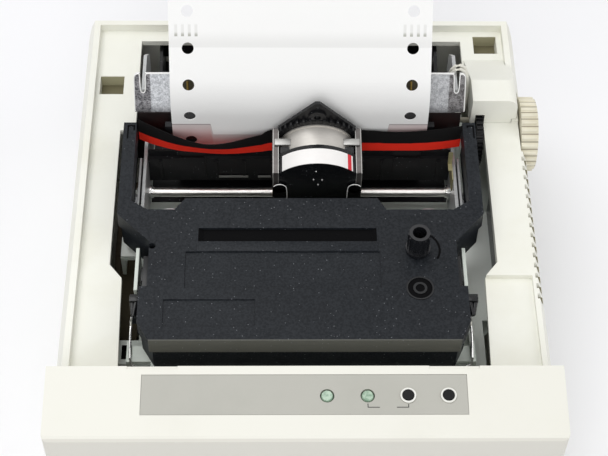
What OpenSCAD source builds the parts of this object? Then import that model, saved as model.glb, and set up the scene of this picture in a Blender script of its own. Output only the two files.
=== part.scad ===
// Small dot matrix printer for narrow sprocket-fed paper, shown with its top cover off.
// Heights are measured from the rim of the case, depths from the rim's rear inner edge.

/* [Case] */
// Width of the case
case_w = 160; // [156:1:176]
// Height of the case rim above the table
rim_h = 72; // [70:1:84]
// How far the rim stands in from the case's side
rim_inset = 2.8; // [2:0.1:4]
// Height of the slanted flank below the rim
flank_h = 8; // [6:0.5:10]
// Depth from the rear inner edge of the rim to the bezel
bezel_back = 156; // [155:0.5:160]
// Depth of the bezel, front to back
bezel_d = 24; // [22:0.5:28]
// Thickness of the casing walls
wall = 2.2; // [1.8:0.1:2.6]
// Thickness of the casing floor
floor_t = 2.5; // [2:0.1:3]
// How far the deck lies below the rim
deck_drop = 3.4; // [2.8:0.1:4]
// Height of the joint between the case halves, below the rim
split_drop = 30; // [28:1:32]
// Radius of the upright corners of the case
corner_r = 4; // [2:0.5:6]
// Height of the bezel above the rim
bezel_rise = 12; // [11:0.5:14]
// Slope of the bezel's top, degrees
bezel_slope = 7.5; // [5:0.5:9]
// Height of the rubber feet
foot_h = 4; // [3:0.5:5]
// Diameter of the rubber feet
foot_d = 14; // [10:1:16]
// Number of air slots in the right wall
vent_count = 15; // [9:1:16]
// Distance between the air slots
vent_pitch = 4.16; // [4:0.02:4.2]
// Width of one air slot
vent_w = 1.9; // [1.4:0.1:2.4]

/* [Deck opening] */
// Half width of the opening beside the cassette
bay_mid = 65; // [63.5:0.5:66]
// How much narrower the opening is on each side behind the platen
bay_step = 5.4; // [5:0.1:6]
// How much narrower the opening is on each side at the front
bay_taper = 5.2; // [4.5:0.1:6]

/* [Control panel] */
// Width of the grey panel plate
panel_w = 100; // [96:1:110]
// Depth of the grey panel plate
panel_d = 13.1; // [12:0.1:15]
// Diameter of the lamp lenses
lamp_d = 4.1; // [3:0.1:4.6]
// Diameter of the push buttons
button_d = 3.5; // [3:0.1:4]
// Diameter of the rings round the buttons
ring_d = 4.9; // [4.6:0.1:6]
// Travel of the push buttons
button_travel = 0.8; // [0.5:0.1:1]
// Distance between neighbours in the row of lamps and buttons
panel_pitch = 12.4; // [11:0.2:13]

/* [Paper and feed] */
// Width of the continuous paper
paper_w = 88.9; // [84:0.1:89.2]
// Distance between the two rows of holes
hole_span = 76.2; // [74:0.1:76.6]
// Distance from hole to hole along the paper
hole_pitch = 12.7; // [12.4:0.1:12.8]
// Diameter of the sprocket holes
hole_d = 4; // [3.8:0.1:4.4]
// Thickness of the paper
paper_t = 0.25; // [0.2:0.05:0.3]
// Number of pins on each sprocket wheel
pin_count = 6; // [6:1:6]
// Diameter of the feed shaft
feed_shaft_d = 5; // [4:0.5:6]
// Radius of the curve where the paper leans back
lean_r = 24; // [20:1:30]
// Lean of the paper from upright, degrees
lean = 36; // [30:1:40]
// Diameter of the paper feed wheel outside the case
wheel_d = 27; // [24:0.5:28]
// Width of the paper feed wheel
wheel_w = 6; // [5:0.5:7]
// Number of ribs round the paper feed wheel
rib_count = 29; // [20:1:32]

/* [Print head] */
// Diameter of the light metal body of the print head
head_d = 25.6; // [24:0.2:26]
// Radius of the arched top of the print head's cap
cap_r = 17; // [16.5:0.1:17.5]
// Tilt of the print head, degrees
head_tilt = 5; // [4:0.5:5.5]
// Width of the carriage
carriage_w = 30.8; // [30.6:0.2:32]
// Diameter of the guide shaft
guide_d = 3.2; // [3:0.1:3.6]

/* [Ribbon cassette] */
// Height of the cassette's cover
cover_h = 7; // [6:0.5:8]
// Height of the cassette's base
base_h = 10; // [9.5:0.5:11]
// Gap between each arm of the cassette and the edge of the opening
arm_gap = 3.5; // [3.3:0.1:3.8]
// Width of each arm of the cassette
arm_w = 4.5; // [4.3:0.1:4.7]
// Height of the ribbon
ribbon_h = 12.8; // [12:0.1:13]
// How far the slack ribbon bows forward
ribbon_bow = 5.2; // [4:0.1:5.6]
// Diameter of the ribbon tightening knob
knob_d = 6.8; // [6:0.1:7]
// Height of the knob above the cassette's top
knob_h = 9.5; // [7:0.5:10]
// Wall of the cassette's base
cart_wall = 1.4; // [1:0.1:1.6]

/* [Fits] */
// Radial clearance of a running fit
run_gap = 0.06; // [0.04:0.01:0.08]
// Clearance between the cassette's arms and the side frames
arm_clear = 0.5; // [0.4:0.05:0.6]
// Thickness of the chassis and frame steel
steel_t = 1.2; // [1:0.1:1.4]

/* [Hidden] */
$fn = 48;
eps = 0.01;

// Casing levels and edges
inner_w = case_w - 2 * wall;
rim_half = case_w / 2 - rim_inset;
rim_in = rim_half - wall;
rear_y = wall + rim_inset;
front_y = -(bezel_back + bezel_d);
table_z = -rim_h;
case_z = table_z + foot_h;
floor_z = case_z + floor_t;
split_z = -split_drop;
deck_z = -deck_drop;
under_z = deck_z - wall;
boss_d = 7;
screw_r = 1.5;
boss_x = case_w / 2 - 10;
bosses = [[-boss_x, -20], [boss_x, -20], [-boss_x, -146], [boss_x, -146]];
foot_x = case_w / 2 - 20;
bay_rear = bay_mid - bay_step;
bay_front = bay_mid - bay_taper;
arm_out = bay_mid - arm_gap;
foot_ys = [-20, -165];

// Mechanism line, print line and feed shaft
mech_x = -1;
print_y = -56.7;
print_z = 3.5;
pitch_r = pin_count * hole_pitch / (2 * PI);
feed_y = print_y + pitch_r;
feed_z = -10;
wheel_x = case_w / 2 - 2;
wheel_r = wheel_d / 2;
recess_r = wheel_r + 1.2;
pin_r = hole_d / 2 - 0.45;
pin_tip = pitch_r + 2.2;
pin_wheel_r = pitch_r - paper_t / 2 - 0.08;
pin_wheel_w = 6;
pin_phase = -1.2;

// Paper path, measured along the sheet from where it leaves the pin wheels
wrap_len = pitch_r * PI / 2;
lean_z = 14;
lean_at = lean_z - feed_z;
lean_len = lean_r * lean * PI / 180;
rows_up = 6;
rows_down = 5;
sheet_top = pin_phase + (rows_up + 0.5) * hole_pitch;
sheet_tail = pin_phase - (rows_down + 0.5) * hole_pitch;
tail_y = feed_y - sheet_tail - wrap_len;
sheet_z = feed_z - pitch_r;

// Middle of the whole printer, from the wheel to the left side and from front to paper tail
mid_x = (wheel_x + wheel_w - case_w / 2) / 2;
mid_y = (tail_y + front_y) / 2;

// Chassis, frames and rails
chassis_z = -26;
frame_gap = 0.6;
lip_t = 0.8;
frame_x = arm_out - arm_w - arm_clear - lip_t - frame_gap - steel_t;
chassis_left = 9 - bay_mid;
chassis_right = bay_mid + 5;
tongue_x = 2 - bay_mid;
lip_x = frame_x + steel_t + frame_gap;
flange_w = 5;
guide_y = -65.2;
guide_z = -18;
rail_y = -54.4;
rail_z = -23;
rail_d = 2;
frame_screws = [-80, -64];
frame_screw_x = lip_x + lip_t + flange_w / 2;
post_d = 7;
posts = [[chassis_left + 6, -146], [chassis_right - 4, -108], [chassis_left + 6, -34], [frame_x - 3.9, -20]];

// Print head on its carriage
head_x = 4.8;
head_r = head_d / 2;
lug_w = 5.8;
lug_front = 71;
lug_back = 60.2;
bush_r = 3;
cap_front = 12.4;
band_start = 14.15;
cap_end = 20.2;
cap_half = 13.2;
cap_top = 14.5;
cheek_foot = -9;

// Belt drive
belt_y = -78;
belt_x = frame_x - 7.9;
pulley_r = 4.5;
belt_z = -24.2;
belt_h = 4.4;
belt_t = 0.8;
belt_gap = 0.2;
drive_r = 13;
drive_h = 18;
pin_shaft_r = 1;

// Paper feed gears
gear_mod = 0.6;
feed_teeth = 36;
pinion_teeth = 12;
feed_cd = gear_mod * (feed_teeth + pinion_teeth) / 2 + 0.15;
pinion_dir = -29;
pinion_y = feed_y + feed_cd * cos(pinion_dir);
pinion_z = feed_z + feed_cd * sin(pinion_dir);
gear_w = 2.3;
step_r = 8.7;
step_w = 8.8;

// Gear cover
cover_l = bay_rear + 0.6;
cover_r = rim_in + 1.4;
cover_wall = 1.6;
gear_x = cover_l + cover_wall + 0.5;
cover_top = 9.8;
cover_front = -46;
cover_ridge = -36;
cover_rear = -14.4;

// Control panel
panel_x = -0.45;
panel_from = 2.95;
panel_t = 0.7;
row_y = 9.9;
lamp_xs = [6.5, 6.5 + panel_pitch];
button_xs = [6.5 + 2 * panel_pitch, 6.5 + 3 * panel_pitch];
board_drop = 9;
board_t = 1.2;

// Cassette and its cradle
arm_tip = -53.6;
arm_back = -93.5;
body_rear = -91.7;
lip_rear = -87;
hip = arm_out - 7.4;
waist = hip - 2.6;
waist_y = -104.9;
hip_y = -122.8;
cart_front = -143.6;
cart_side = hip - 3.3;
cart_trim = 1.4;
knob_x = 38.5;
knob_y = -108.4;
drive_mod = 0.8;
drive_teeth = 19;
drive_y = knob_y - drive_mod * drive_teeth - 0.15;
pinch_teeth = 14;
pinch_x = knob_x - drive_mod * (drive_teeth + pinch_teeth) / 2 - 0.15;
ribbon_t = 0.16;
ribbon_y = print_y - 1.1;
ribbon_end = arm_tip - 0.8;
cradle_z = -base_h - steel_t;
pivot_y = -138;
pivot_z = -12;
pivot_r = 1.2;
ear_x = hip + 1.6;
strips = [-hip - 0.3, hip + 0.4];
strip_rear = waist_y + 1.9;

// Power inlet, switch and connector in the back of the case
inlet_x = 14 - case_w / 2;
inlet_w = 46;
inlet_z = -62;
inlet_h = 22;
rocker_x = inlet_x + 38;
rocker_z = -51;
plug_x = inlet_x + inlet_w + 22;
plug_w = 56;
plug_h = 14;
board_z = floor_z + 4;
board_l = inlet_x + inlet_w + 0.5;
board_r = plug_x + plug_w + 3.5;
pcb_t = 1.6;

module place() translate([-mid_x, -mid_y, rim_h]) children();

module mech() place() translate([mech_x, 0, 0]) children();

module on_bezel() place() translate([0, -bezel_back, bezel_rise]) rotate([bezel_slope, 0, 0]) children();

module on_head() place() translate([head_x, print_y - 1.3, print_z]) rotate([head_tilt, 0, 0]) children();

// A side profile drawn as depth and height, made from x0 to x1
module slab(x0, x1) translate([x0, 0, 0]) rotate([90, 0, 90]) linear_extrude(x1 - x0) children();

// A front profile drawn as width and height, made from y0 back to y1
module slice(y0, y1) translate([0, y1, 0]) rotate([90, 0, 0]) linear_extrude(y1 - y0) children();

module block(a, b) translate(a) cube(b - a);

module rod(x0, x1, r, y, z) translate([x0, y, z]) rotate([0, 90, 0]) cylinder(h = x1 - x0, r = r);

module post(x, y, z0, z1, r) translate([x, y, z0]) cylinder(h = z1 - z0, r = r);

module both() { children(); mirror([1, 0, 0]) children(); }

module rounded(x, y0, y1, r) {
  translate([-x, y0 + r]) square([2 * x, y1 - y0 - 2 * r]);
  translate([-x + r, y0]) square([2 * x - 2 * r, y1 - y0]);
  for (cx = [-x + r, x - r], cy = [y0 + r, y1 - r]) translate([cx, cy]) circle(r);
}

// Spur gear outline with tapered teeth
function gear_ring(n, m) = [for (i = [0:n - 1], k = [0:3])
  let (a = 360 / n * (i + [-0.27, -0.11, 0.11, 0.27][k]),
       r = m * n / 2 + m * (k == 1 || k == 2 ? 0.8 : -1.1)) [r * cos(a), r * sin(a)]];

module gear(n, m, h, bore) linear_extrude(h) difference() {
  polygon(gear_ring(n, m));
  circle(bore);
}

// The slanted box that both case halves share, drawn in by an inset
module casing(inset, z0) intersection() {
  slab(-case_w, case_w) polygon([[front_y, z0], [rear_y - inset, z0],
    [rear_y - inset, -flank_h], [rear_y - rim_inset - inset, 0], [front_y, 0]]);
  slice(front_y, rear_y) polygon([[-case_w / 2 + inset, z0], [case_w / 2 - inset, z0],
    [case_w / 2 - inset, -flank_h], [rim_half - inset, 0],
    [-rim_half + inset, 0], [-case_w / 2 + inset, -flank_h]]);
  translate([0, 0, z0]) linear_extrude(-z0)
    rounded(case_w / 2 - inset, front_y + inset, rear_y - inset, corner_r - inset / 2);
}

module bay() linear_extrude(3 * wall, center = true) polygon([
  [bay_rear, -5.1], [bay_rear, -48], [bay_mid, -48.5], [bay_mid, -107], [bay_front + 0.9, -112.5],
  [bay_front, -150], [-bay_front, -150], [-bay_front - 0.9, -112.5], [-bay_mid, -107],
  [-bay_mid, -48.5], [-bay_rear, -48], [-bay_rear, -5.1]]);

// The deck right of the opening is higher than the rest and has no rim beside it
side_in = bay_front - 1;
side_z = deck_z + 1.4;
pocket_w = 8.7;
pocket_z = deck_z - 5;
pockets = [[1.3 - rim_in, -31.4], [rim_in - pocket_w - 1.9, -11.2]];
slot_half = paper_w / 2 + 3;
slot_z = [sheet_z - 2.4, sheet_z + 4.8];

module upper_case() color("#eceadb") place() difference() {
  union() {
    difference() {
      intersection() {
        casing(0, split_z);
        block([-case_w, -bezel_back, split_z], [case_w, rear_y, 0]);
      }
      intersection() {
        casing(wall, split_z - 1);
        block([-case_w, wall - bezel_back, split_z - 1], [case_w, rear_y, under_z]);
      }
    }
    for (p = pockets) block([p.x - wall, p.y - wall, pocket_z - wall],
      [p.x + pocket_w + wall, p.y + pocket_w + wall, under_z + eps]);
    block([wheel_x - wall - 0.6, feed_y - recess_r - wall, feed_z - recess_r - wall],
      [wheel_x + 1, feed_y + recess_r + wall, under_z + eps]);
    for (b = bosses) post(b.x, b.y, split_z, under_z + eps, boss_d / 2);
  }
  block([-rim_in, -bezel_back - 1, deck_z], [side_in, 0, 1]);
  block([side_in - eps, cover_front - 0.1, deck_z], [rim_in, 0, 1]);
  block([side_in - eps, -bezel_back - 1, side_z], [case_w, cover_front - 0.1 + eps, 1]);
  translate([0, 0, deck_z]) bay();
  block([bay_front - 2, -bezel_back - 1, deck_z - 0.5], [rim_in + 1.2, -112.4, 0]);
  for (p = pockets) block([p.x, p.y, pocket_z], [p.x + pocket_w, p.y + pocket_w, 0]);
  for (i = [0:vent_count - 1]) translate([case_w / 2 - wall - 0.6, -62.5 - i * vent_pitch - vent_w / 2, -16])
    cube([wall + 2, vent_w, 15]);
  block([wheel_x - 0.6, feed_y - recess_r, feed_z - recess_r], [case_w, feed_y + recess_r, 1]);
  rod(wheel_x - 4, wheel_x + 1, feed_shaft_d / 2 + 0.8, feed_y, feed_z);
  block([mech_x - slot_half, 0, slot_z[0]], [mech_x + slot_half, rear_y + 1, slot_z[1]]);
  block([bay_rear - 1, cover_front - 3, deck_z - wall - 1], [gear_x + gear_w + 0.4, feed_y + 13, 0]);
  for (b = bosses) post(b.x, b.y, split_z - 1, split_z + 12, screw_r + run_gap);
}

module lower_case() color("#e6e4d4") place() difference() {
  union() {
    difference() {
      translate([0, 0, case_z]) linear_extrude(split_z - case_z)
        rounded(case_w / 2, front_y, rear_y, corner_r);
      translate([0, 0, floor_z]) linear_extrude(split_z - case_z)
        rounded(case_w / 2 - wall, front_y + wall, rear_y - wall, corner_r - wall / 2);
    }
    for (b = bosses) post(b.x, b.y, case_z, split_z, boss_d / 2 + 1);
    for (p = posts) post(p.x, p.y, floor_z - eps, chassis_z - steel_t, post_d / 2);
    for (x = [board_l + 8.5, board_r - 4]) block([x - 1.5, -139, floor_z - eps], [x + 1.5, -3, board_z]);
  }
  for (b = bosses) post(b.x, b.y, case_z - 1, split_z - 6, screw_r + 1.7);
  for (b = bosses) post(b.x, b.y, case_z, split_z + 1, screw_r + 0.2);
  for (p = posts) post(p.x, p.y, chassis_z - steel_t - 7, chassis_z, screw_r + run_gap);
  for (i = [0:6]) block([-40 + i * 12, -120, case_z - 1], [-37 + i * 12, -80, floor_z + 1]);
  block([inlet_x, 0, inlet_z], [inlet_x + inlet_w, rear_y + 1, inlet_z + inlet_h]);
  block([plug_x, 0, board_z + pcb_t], [plug_x + plug_w, rear_y + 1, board_z + pcb_t + plug_h]);
}

// The bezel's side profile, drawn in by an inset
bezel_fall = bezel_d * tan(bezel_slope);
module bezel_side(inset) polygon([[-bezel_back - inset, split_z - inset],
  [-bezel_back - inset, bezel_rise - inset], [front_y + 1.4 + inset, bezel_rise - bezel_fall - inset],
  [front_y + inset, bezel_rise - bezel_fall - 1.4 - inset], [front_y + inset, split_z - inset]]);

module front_bezel() color("#f1efe4") {
  place() difference() {
    intersection() {
      slab(-case_w / 2, case_w / 2) bezel_side(0);
      translate([0, 0, split_z]) linear_extrude(split_drop + bezel_rise)
        rounded(case_w / 2, front_y, 0, corner_r / 2);
    }
    slab(-inner_w / 2, inner_w / 2) bezel_side(wall);
    for (x = [-55.1, 38.2]) block([x, -bezel_back - 1, bezel_rise - 1.6], [x + 15.6, -bezel_back + 1, bezel_rise + 1]);
    translate([0, -bezel_back, bezel_rise]) rotate([bezel_slope, 0, 0]) {
      block([panel_x - panel_w / 2 - 0.1, -panel_from - panel_d - 0.1, -panel_t - 0.1],
        [panel_x + panel_w / 2 + 0.1, 0.1 - panel_from, 2]);
      for (x = lamp_xs) post(x, -row_y, -5, 1, lamp_d / 2 + 0.2);
      for (x = button_xs) post(x, -row_y, -5, 1, ring_d / 2 + 0.05);
    }
  }
  on_bezel() for (x = [0.5, 49.3]) post(x, -row_y, -board_drop, -wall, 1.6);
}

module gear_cover() color("#eeecdf") place() intersection() {
  difference() {
    slab(cover_l, cover_r) polygon([[cover_front, deck_z], [cover_front, cover_top],
      [cover_ridge, cover_top], [cover_rear, deck_z]]);
    slab(cover_l + cover_wall, cover_r - cover_wall) polygon([[cover_front + cover_wall, deck_z - 1],
      [cover_front + cover_wall, cover_top - cover_wall], [cover_ridge - 0.6, cover_top - cover_wall],
      [cover_rear - 3, deck_z - 1]]);
    block([rim_in - 0.2, cover_front - 1, deck_z - 1], [cover_r + 1, 0, 0.2]);
    block([gear_x - 0.5, cover_front - 1, deck_z - 1], [gear_x + gear_w + 0.5, cover_front + 2, 2.2]);
  }
  slice(cover_front - 1, cover_rear + 1) union() {
    translate([cover_l, deck_z]) square([cover_r - cover_l, cover_top - deck_z - 4]);
    translate([cover_l, deck_z]) square([cover_r - cover_l - 4, cover_top - deck_z]);
    translate([cover_r - 4, cover_top - 4]) circle(4);
  }
}

module panel_plate() color("#b9b5ac") on_bezel() difference() {
  block([panel_x - panel_w / 2, -panel_from - panel_d, -panel_t - 0.1],
    [panel_x + panel_w / 2, -panel_from, -0.1]);
  for (x = lamp_xs) post(x, -row_y, -5, 1, lamp_d / 2 + 0.15);
  for (x = button_xs) post(x, -row_y, -5, 1, ring_d / 2 + 0.05);
}

module button_rings() color("#f2f2ee") on_bezel() for (x = button_xs) difference() {
  post(x, -row_y, -3, 0.35, ring_d / 2);
  post(x, -row_y, -4, 1, button_d / 2 + 0.15);
}

// A push button whose stem stands over its switch
module push_button(x) on_bezel() {
  post(x, -row_y, -3.2, 0.7, button_d / 2);
  post(x, -row_y, button_travel + 0.2 - board_drop + 1.5, -3, 1);
}
module select_button() color("#17181a") push_button(button_xs[0]);
module feed_button() color("#17181a") push_button(button_xs[1]);

module lamp(x) on_bezel() {
  post(x, -row_y, -board_drop, -1.2, lamp_d / 2 - 0.05);
  translate([x, -row_y, -1.2]) intersection() {
    sphere(lamp_d / 2 - 0.05);
    translate([-5, -5, -eps]) cube([10, 10, 1.2]);
  }
}
module power_lamp() color("#79c29b") lamp(lamp_xs[0]);
module alarm_lamp() color("#79c29b") lamp(lamp_xs[1]);

module panel_board() color("#2f6b48") on_bezel() {
  block([-2, -row_y - 6, -board_drop - board_t], [53, -row_y + 6, -board_drop]);
  for (x = button_xs) block([x - 3, -row_y - 3, -board_drop - eps], [x + 3, -row_y + 3, 1.5 - board_drop]);
}

module rubber_feet() color("#2b2b2c") place() for (x = [-foot_x, foot_x], y = foot_ys)
  post(x, y, table_z, case_z, foot_d / 2);

module case_screws() color("#8d9093") place() for (b = bosses) {
  post(b.x, b.y, split_z - 8, split_z - 6, screw_r + 1.4);
  post(b.x, b.y, split_z - 6 - eps, split_z + 11, screw_r);
}

module main_board() color("#2d6a45") place() difference() {
  union() {
    block([board_l, -140, board_z], [board_r, -2, board_z + pcb_t]);
    for (i = [0:3]) block([board_l + 5 + i * 18, -130, board_z + pcb_t - eps],
      [board_l + 15 + i * 18, -98, board_z + pcb_t + 4]);
    for (i = [0:2]) post(board_l + 10 + i * 15, -24, board_z + pcb_t - eps, board_z + pcb_t + 18, 5.5);
    block([board_l + 3, -84, board_z + pcb_t - eps], [board_l + 51, -66, board_z + pcb_t + 3.5]);
    block([board_r - 24, -60, board_z + pcb_t - eps], [board_r - 0.5, -52, board_z + pcb_t + 8]);
  }
  for (p = posts) post(p.x, p.y, board_z - 1, board_z + pcb_t + 1, post_d / 2 + 0.5);
}

module transformer() color("#6d5f4c") place() {
  block([inlet_x - 2, -90, floor_z], [inlet_x + 32, -46, floor_z + 26]);
  block([inlet_x + 2, -96, floor_z + 5], [inlet_x + 28, -40, floor_z + 21]);
}

module power_inlet() color("#1d1e20") place() difference() {
  union() {
    block([inlet_x + 0.2, -14, inlet_z + 0.2], [inlet_x + inlet_w - 0.2, rear_y + eps, inlet_z + inlet_h - 0.2]);
    block([inlet_x - 1.5, rear_y, inlet_z - 1.5], [inlet_x + inlet_w + 1.5, rear_y + 1.2, inlet_z + inlet_h + 1.5]);
  }
  difference() {
    block([inlet_x + 2, -9, inlet_z + 3], [inlet_x + 26, rear_y + 2, inlet_z + 19]);
    for (k = [0:2]) block([inlet_x + 6 + k * 7, -10, inlet_z + (k == 1 ? 12 : 6)],
      [inlet_x + 8 + k * 7, -2, inlet_z + (k == 1 ? 16 : 10)]);
  }
  block([rocker_x - 4.8, -9, rocker_z - 9], [rocker_x + 4.8, rear_y + 2, rocker_z + 9]);
  rod(rocker_x - 6, rocker_x + 6, 1 + run_gap, 1, rocker_z);
}

module power_rocker() color("#1a1b1c") place() translate([0, 1, rocker_z]) {
  rotate([7, 0, 0]) slab(rocker_x - 4.5, rocker_x + 4.5) polygon([[-3, -5], [5.4, -7.9], [4.5, 0], [5.4, 7.9], [-3, 5]]);
  rod(rocker_x - 5.9, rocker_x + 5.9, 1, 0, 0);
}

module interface_connector() color("#26282b") place() difference() {
  union() {
    block([plug_x + 0.2, -12, board_z + pcb_t], [plug_x + plug_w - 0.2, rear_y + eps, board_z + pcb_t + plug_h - 0.2]);
    block([plug_x - 5, rear_y, board_z + pcb_t - 0.5], [plug_x + plug_w + 5, rear_y + 1.2, board_z + pcb_t + plug_h]);
  }
  difference() {
    block([plug_x + 2, -6, board_z + pcb_t + 2], [plug_x + plug_w - 2, rear_y + 2, board_z + pcb_t + 12]);
    block([plug_x + 5, -7, board_z + pcb_t + 5.5], [plug_x + plug_w - 5, 0, board_z + pcb_t + 8.5]);
  }
}

chassis_edge = [[tongue_x, -137.6], [chassis_left, -137.6], [chassis_left, -151], [bay_mid - 3, -151], [bay_mid - 3, -121],
  [chassis_right, -113], [chassis_right, -30], [bay_mid - 4, -28], [bay_mid - 4, -15], [frame_x - 9.9, -15], [frame_x - 9.9, -27],
  [chassis_left, -27], [chassis_left, -58], [tongue_x, -58], [tongue_x, -96], [chassis_left, -96],
  [chassis_left, -128.6], [tongue_x, -128.6]];

module chassis() color("#b9c3bc") place() difference() {
  union() {
    translate([0, 0, chassis_z - steel_t]) linear_extrude(steel_t) polygon(chassis_edge);
    for (y = [-95.5, -137.1]) block([tongue_x, y, chassis_z - eps], [tongue_x + steel_t, y + 8, -16]);
    block([tongue_x, -95.5, -16 - steel_t], [chassis_left - 0.7, -87.5, -16]);
    block([tongue_x, -137.1, -16 - steel_t], [chassis_left + 3.8, -129.1, -16]);
    for (s = [-1, 1]) {
      block([mech_x + s * ear_x - (s < 0 ? steel_t : 0), pivot_y - 4, chassis_z - eps],
        [mech_x + s * ear_x + (s < 0 ? 0 : steel_t), pivot_y + 4, -8.5]);
      rod(mech_x + s * ear_x - (s < 0 ? eps : 2), mech_x + s * ear_x + (s < 0 ? 2 : eps), pivot_r, pivot_y, pivot_z);
      post(mech_x + s * 30, -98, chassis_z - eps, cradle_z, 3);
    }
  }
  block([tongue_x + 3.9, -136.3, -18], [tongue_x + 8.8, -131.3, -15]);
  for (p = posts) post(p.x, p.y, -30, -20, screw_r + 0.2);
  for (s = [-1, 1], y = frame_screws) post(mech_x + s * frame_screw_x, y, -30, -20, screw_r + run_gap);
  post(mech_x + belt_x, belt_y, -30, -20, pin_shaft_r + 1);
  post(mech_x - belt_x, belt_y, -30, -20, pin_shaft_r + run_gap);
  post(mech_x + knob_x, drive_y, -30, -20, 3);
  block([-20, -92, -30], [20, -86, -20]);
}

module dome(x, y, z, depth, head_w) {
  post(x, y, z - depth, z + 0.5, screw_r);
  translate([x, y, z]) difference() {
    intersection() {
      cylinder(h = 1.7, r = head_w / 2);
      translate([0, 0, -2.1]) sphere(3.9);
    }
    for (a = [0, 90]) rotate([0, 0, a]) translate([-1.6, -0.3, 0.9]) cube([3.2, 0.6, 2]);
  }
}

module chassis_screws() color("#a9adb0") place() {
  for (p = posts) dome(p.x, p.y, chassis_z, 7, 6);
  for (s = [-1, 1], y = frame_screws) dome(mech_x + s * frame_screw_x, y, chassis_z + steel_t, 2 * steel_t - 0.1, flange_w - 0.2);
}

// One side frame, drawn for the right hand side
module side_frame() difference() {
  union() {
    slab(frame_x, frame_x + steel_t) polygon([[-84, chassis_z], [-84, -7], [-82, -5], [-48, -5], [-47, -4],
      [-47, 17], [-31, 17], [-24, 10], [-24, chassis_z]]);
    slab(lip_x, lip_x + lip_t) polygon([[-84, chassis_z], [-84, -7], [-82, -5], [-60, -5], [-60, chassis_z]]);
    block([frame_x, -84, chassis_z], [lip_x + lip_t + flange_w, -60, chassis_z + steel_t]);
  }
  rod(frame_x - 1, lip_x + 2, guide_d / 2, guide_y, guide_z);
  rod(frame_x - 1, lip_x, rail_d / 2, rail_y, rail_z);
  rod(frame_x - 1, lip_x, feed_shaft_d / 2 + run_gap, feed_y, feed_z);
  for (y = frame_screws) post(frame_screw_x, y, chassis_z - 1, chassis_z + 3, screw_r + run_gap);
}

module side_frame_left() color("#9aa09e") mech() mirror([1, 0, 0]) side_frame();
module side_frame_right() color("#9aa09e") mech() difference() {
  side_frame();
  rod(frame_x - 1, frame_x + 2, 2, pinion_y, pinion_z);
}

module guide_shaft() color("#c9ccce") mech() rod(-lip_x - 2.4, lip_x + 2.4, guide_d / 2, guide_y, guide_z);
module rear_rail() color("#c9ccce") mech() rod(-frame_x - steel_t, frame_x + steel_t, rail_d / 2, rail_y, rail_z);

half_c = carriage_w / 2;
fork_z = rail_z - rail_d / 2;
clamp_y = belt_y + pulley_r + belt_gap + belt_t;
head_hollow = head_r + 0.5;
module carriage() color("#232427") place() difference() {
  union() {
    block([head_x - half_c, -72, -22.5], [head_x + half_c, -60, -13]);
    for (s = [-1, 1]) block([head_x + s * half_c - (s > 0 ? lug_w : 0), -lug_front + 1, -14],
      [head_x + s * half_c + (s > 0 ? 0 : lug_w), -lug_back - 0.2, -2]);
    block([head_x - 6, -61, fork_z - 0.1 - 1.2], [head_x + 6, rail_y + 2.4, fork_z - 0.1]);
    block([head_x - 6, -61, fork_z + rail_d + 0.1], [head_x + 6, rail_y - 0.4, fork_z + rail_d + 1.2]);
    block([head_x - 6, -61, fork_z - 0.1 - 1.2], [head_x + 6, -59.2, -19.5]);
    block([head_x - 5, clamp_y - 2.6, belt_z - 1.4], [head_x + 3, -70, belt_z + belt_h + 1.4]);
  }
  block([head_x - 6, clamp_y - belt_t - 0.6, belt_z - 0.3], [head_x + 6, clamp_y + 0.3, belt_z + belt_h + 0.3]);
  rod(head_x - half_c - 1, head_x + half_c + 1, bush_r, guide_y, guide_z);
  translate([head_x, print_y - 1.3, print_z]) rotate([head_tilt, 0, 0]) {
    block([-half_c - 1, -22, cheek_foot], [half_c + 1, 8, 12]);
    rotate([90, 0, 0]) cylinder(h = 30, r = head_hollow, center = true);
    block([-cap_half - 1, -21, -16.5], [cap_half + 1, -cap_front + 0.3, 3]);
  }
}

module carriage_bushes() color("#b98f4e") place() for (s = [-1, 1]) difference() {
  rod(head_x + s * (half_c - 3.2) - 3.2, head_x + s * (half_c - 3.2) + 3.2, bush_r, guide_y, guide_z);
  rod(head_x - half_c - 1, head_x + half_c + 1, guide_d / 2 + run_gap, guide_y, guide_z);
}

flange_top = 23.8;
module head_nose() color("#2a2b2e") on_head() difference() {
  union() {
    slice(-2.4, -1.2) polygon([[-0.8, flange_top], [0.8, flange_top], [13.4, 9.4], [13.4, cheek_foot + 1],
      [-13.4, cheek_foot + 1], [-13.4, 9.4]]);
    block([-3, -1.2 - eps, -4.5], [3, -0.9, 4.5]);
    slice(-3.2, -2.4 + eps) translate([0, 17]) circle(3);
    block([-0.6, -3.2, 13.6], [0.6, -2.4, 16.5]);
  }
  slice(-5, 0) translate([0, 21.4]) circle(0.7);
  slice(-5, 0) translate([0, 17]) circle(1.2);
}

module head_body() color("#c6c8ca") on_head() {
  slice(-3.8, -2.4) difference() {
    circle(head_r + 0.5);
    translate([-20, 13.4]) square([40, 5]);
    translate([-20, -30]) square([40, 20.6]);
  }
  slice(-12.4, -3.8 + eps) circle(head_r);
}

module head_cap() color("#1b1c1f") on_head() {
  intersection() {
    slice(-cap_end, -cap_front) translate([0, cap_top - cap_r]) circle(cap_r);
    slice(-cap_end - 1, 0) translate([0, 1]) circle(cap_r - 1);
    block([-cap_half, -30, -30], [cap_half, 30, 30]);
  }
  for (s = [-1, 1]) block([s > 0 ? 9.2 : -12.6, -cap_front - 0.5, 7.6], [s > 0 ? 12.6 : -9.2, -9.4, 8.6]);
}

module head_band() color("#e9e7df") on_head() intersection() {
  slice(-cap_end, -band_start) difference() {
    translate([0, cap_top - cap_r]) circle(cap_r + 0.2);
    translate([0, cap_top - cap_r]) circle(cap_r);
  }
  block([-12, -30, 5], [12, 30, 30]);
}

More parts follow.
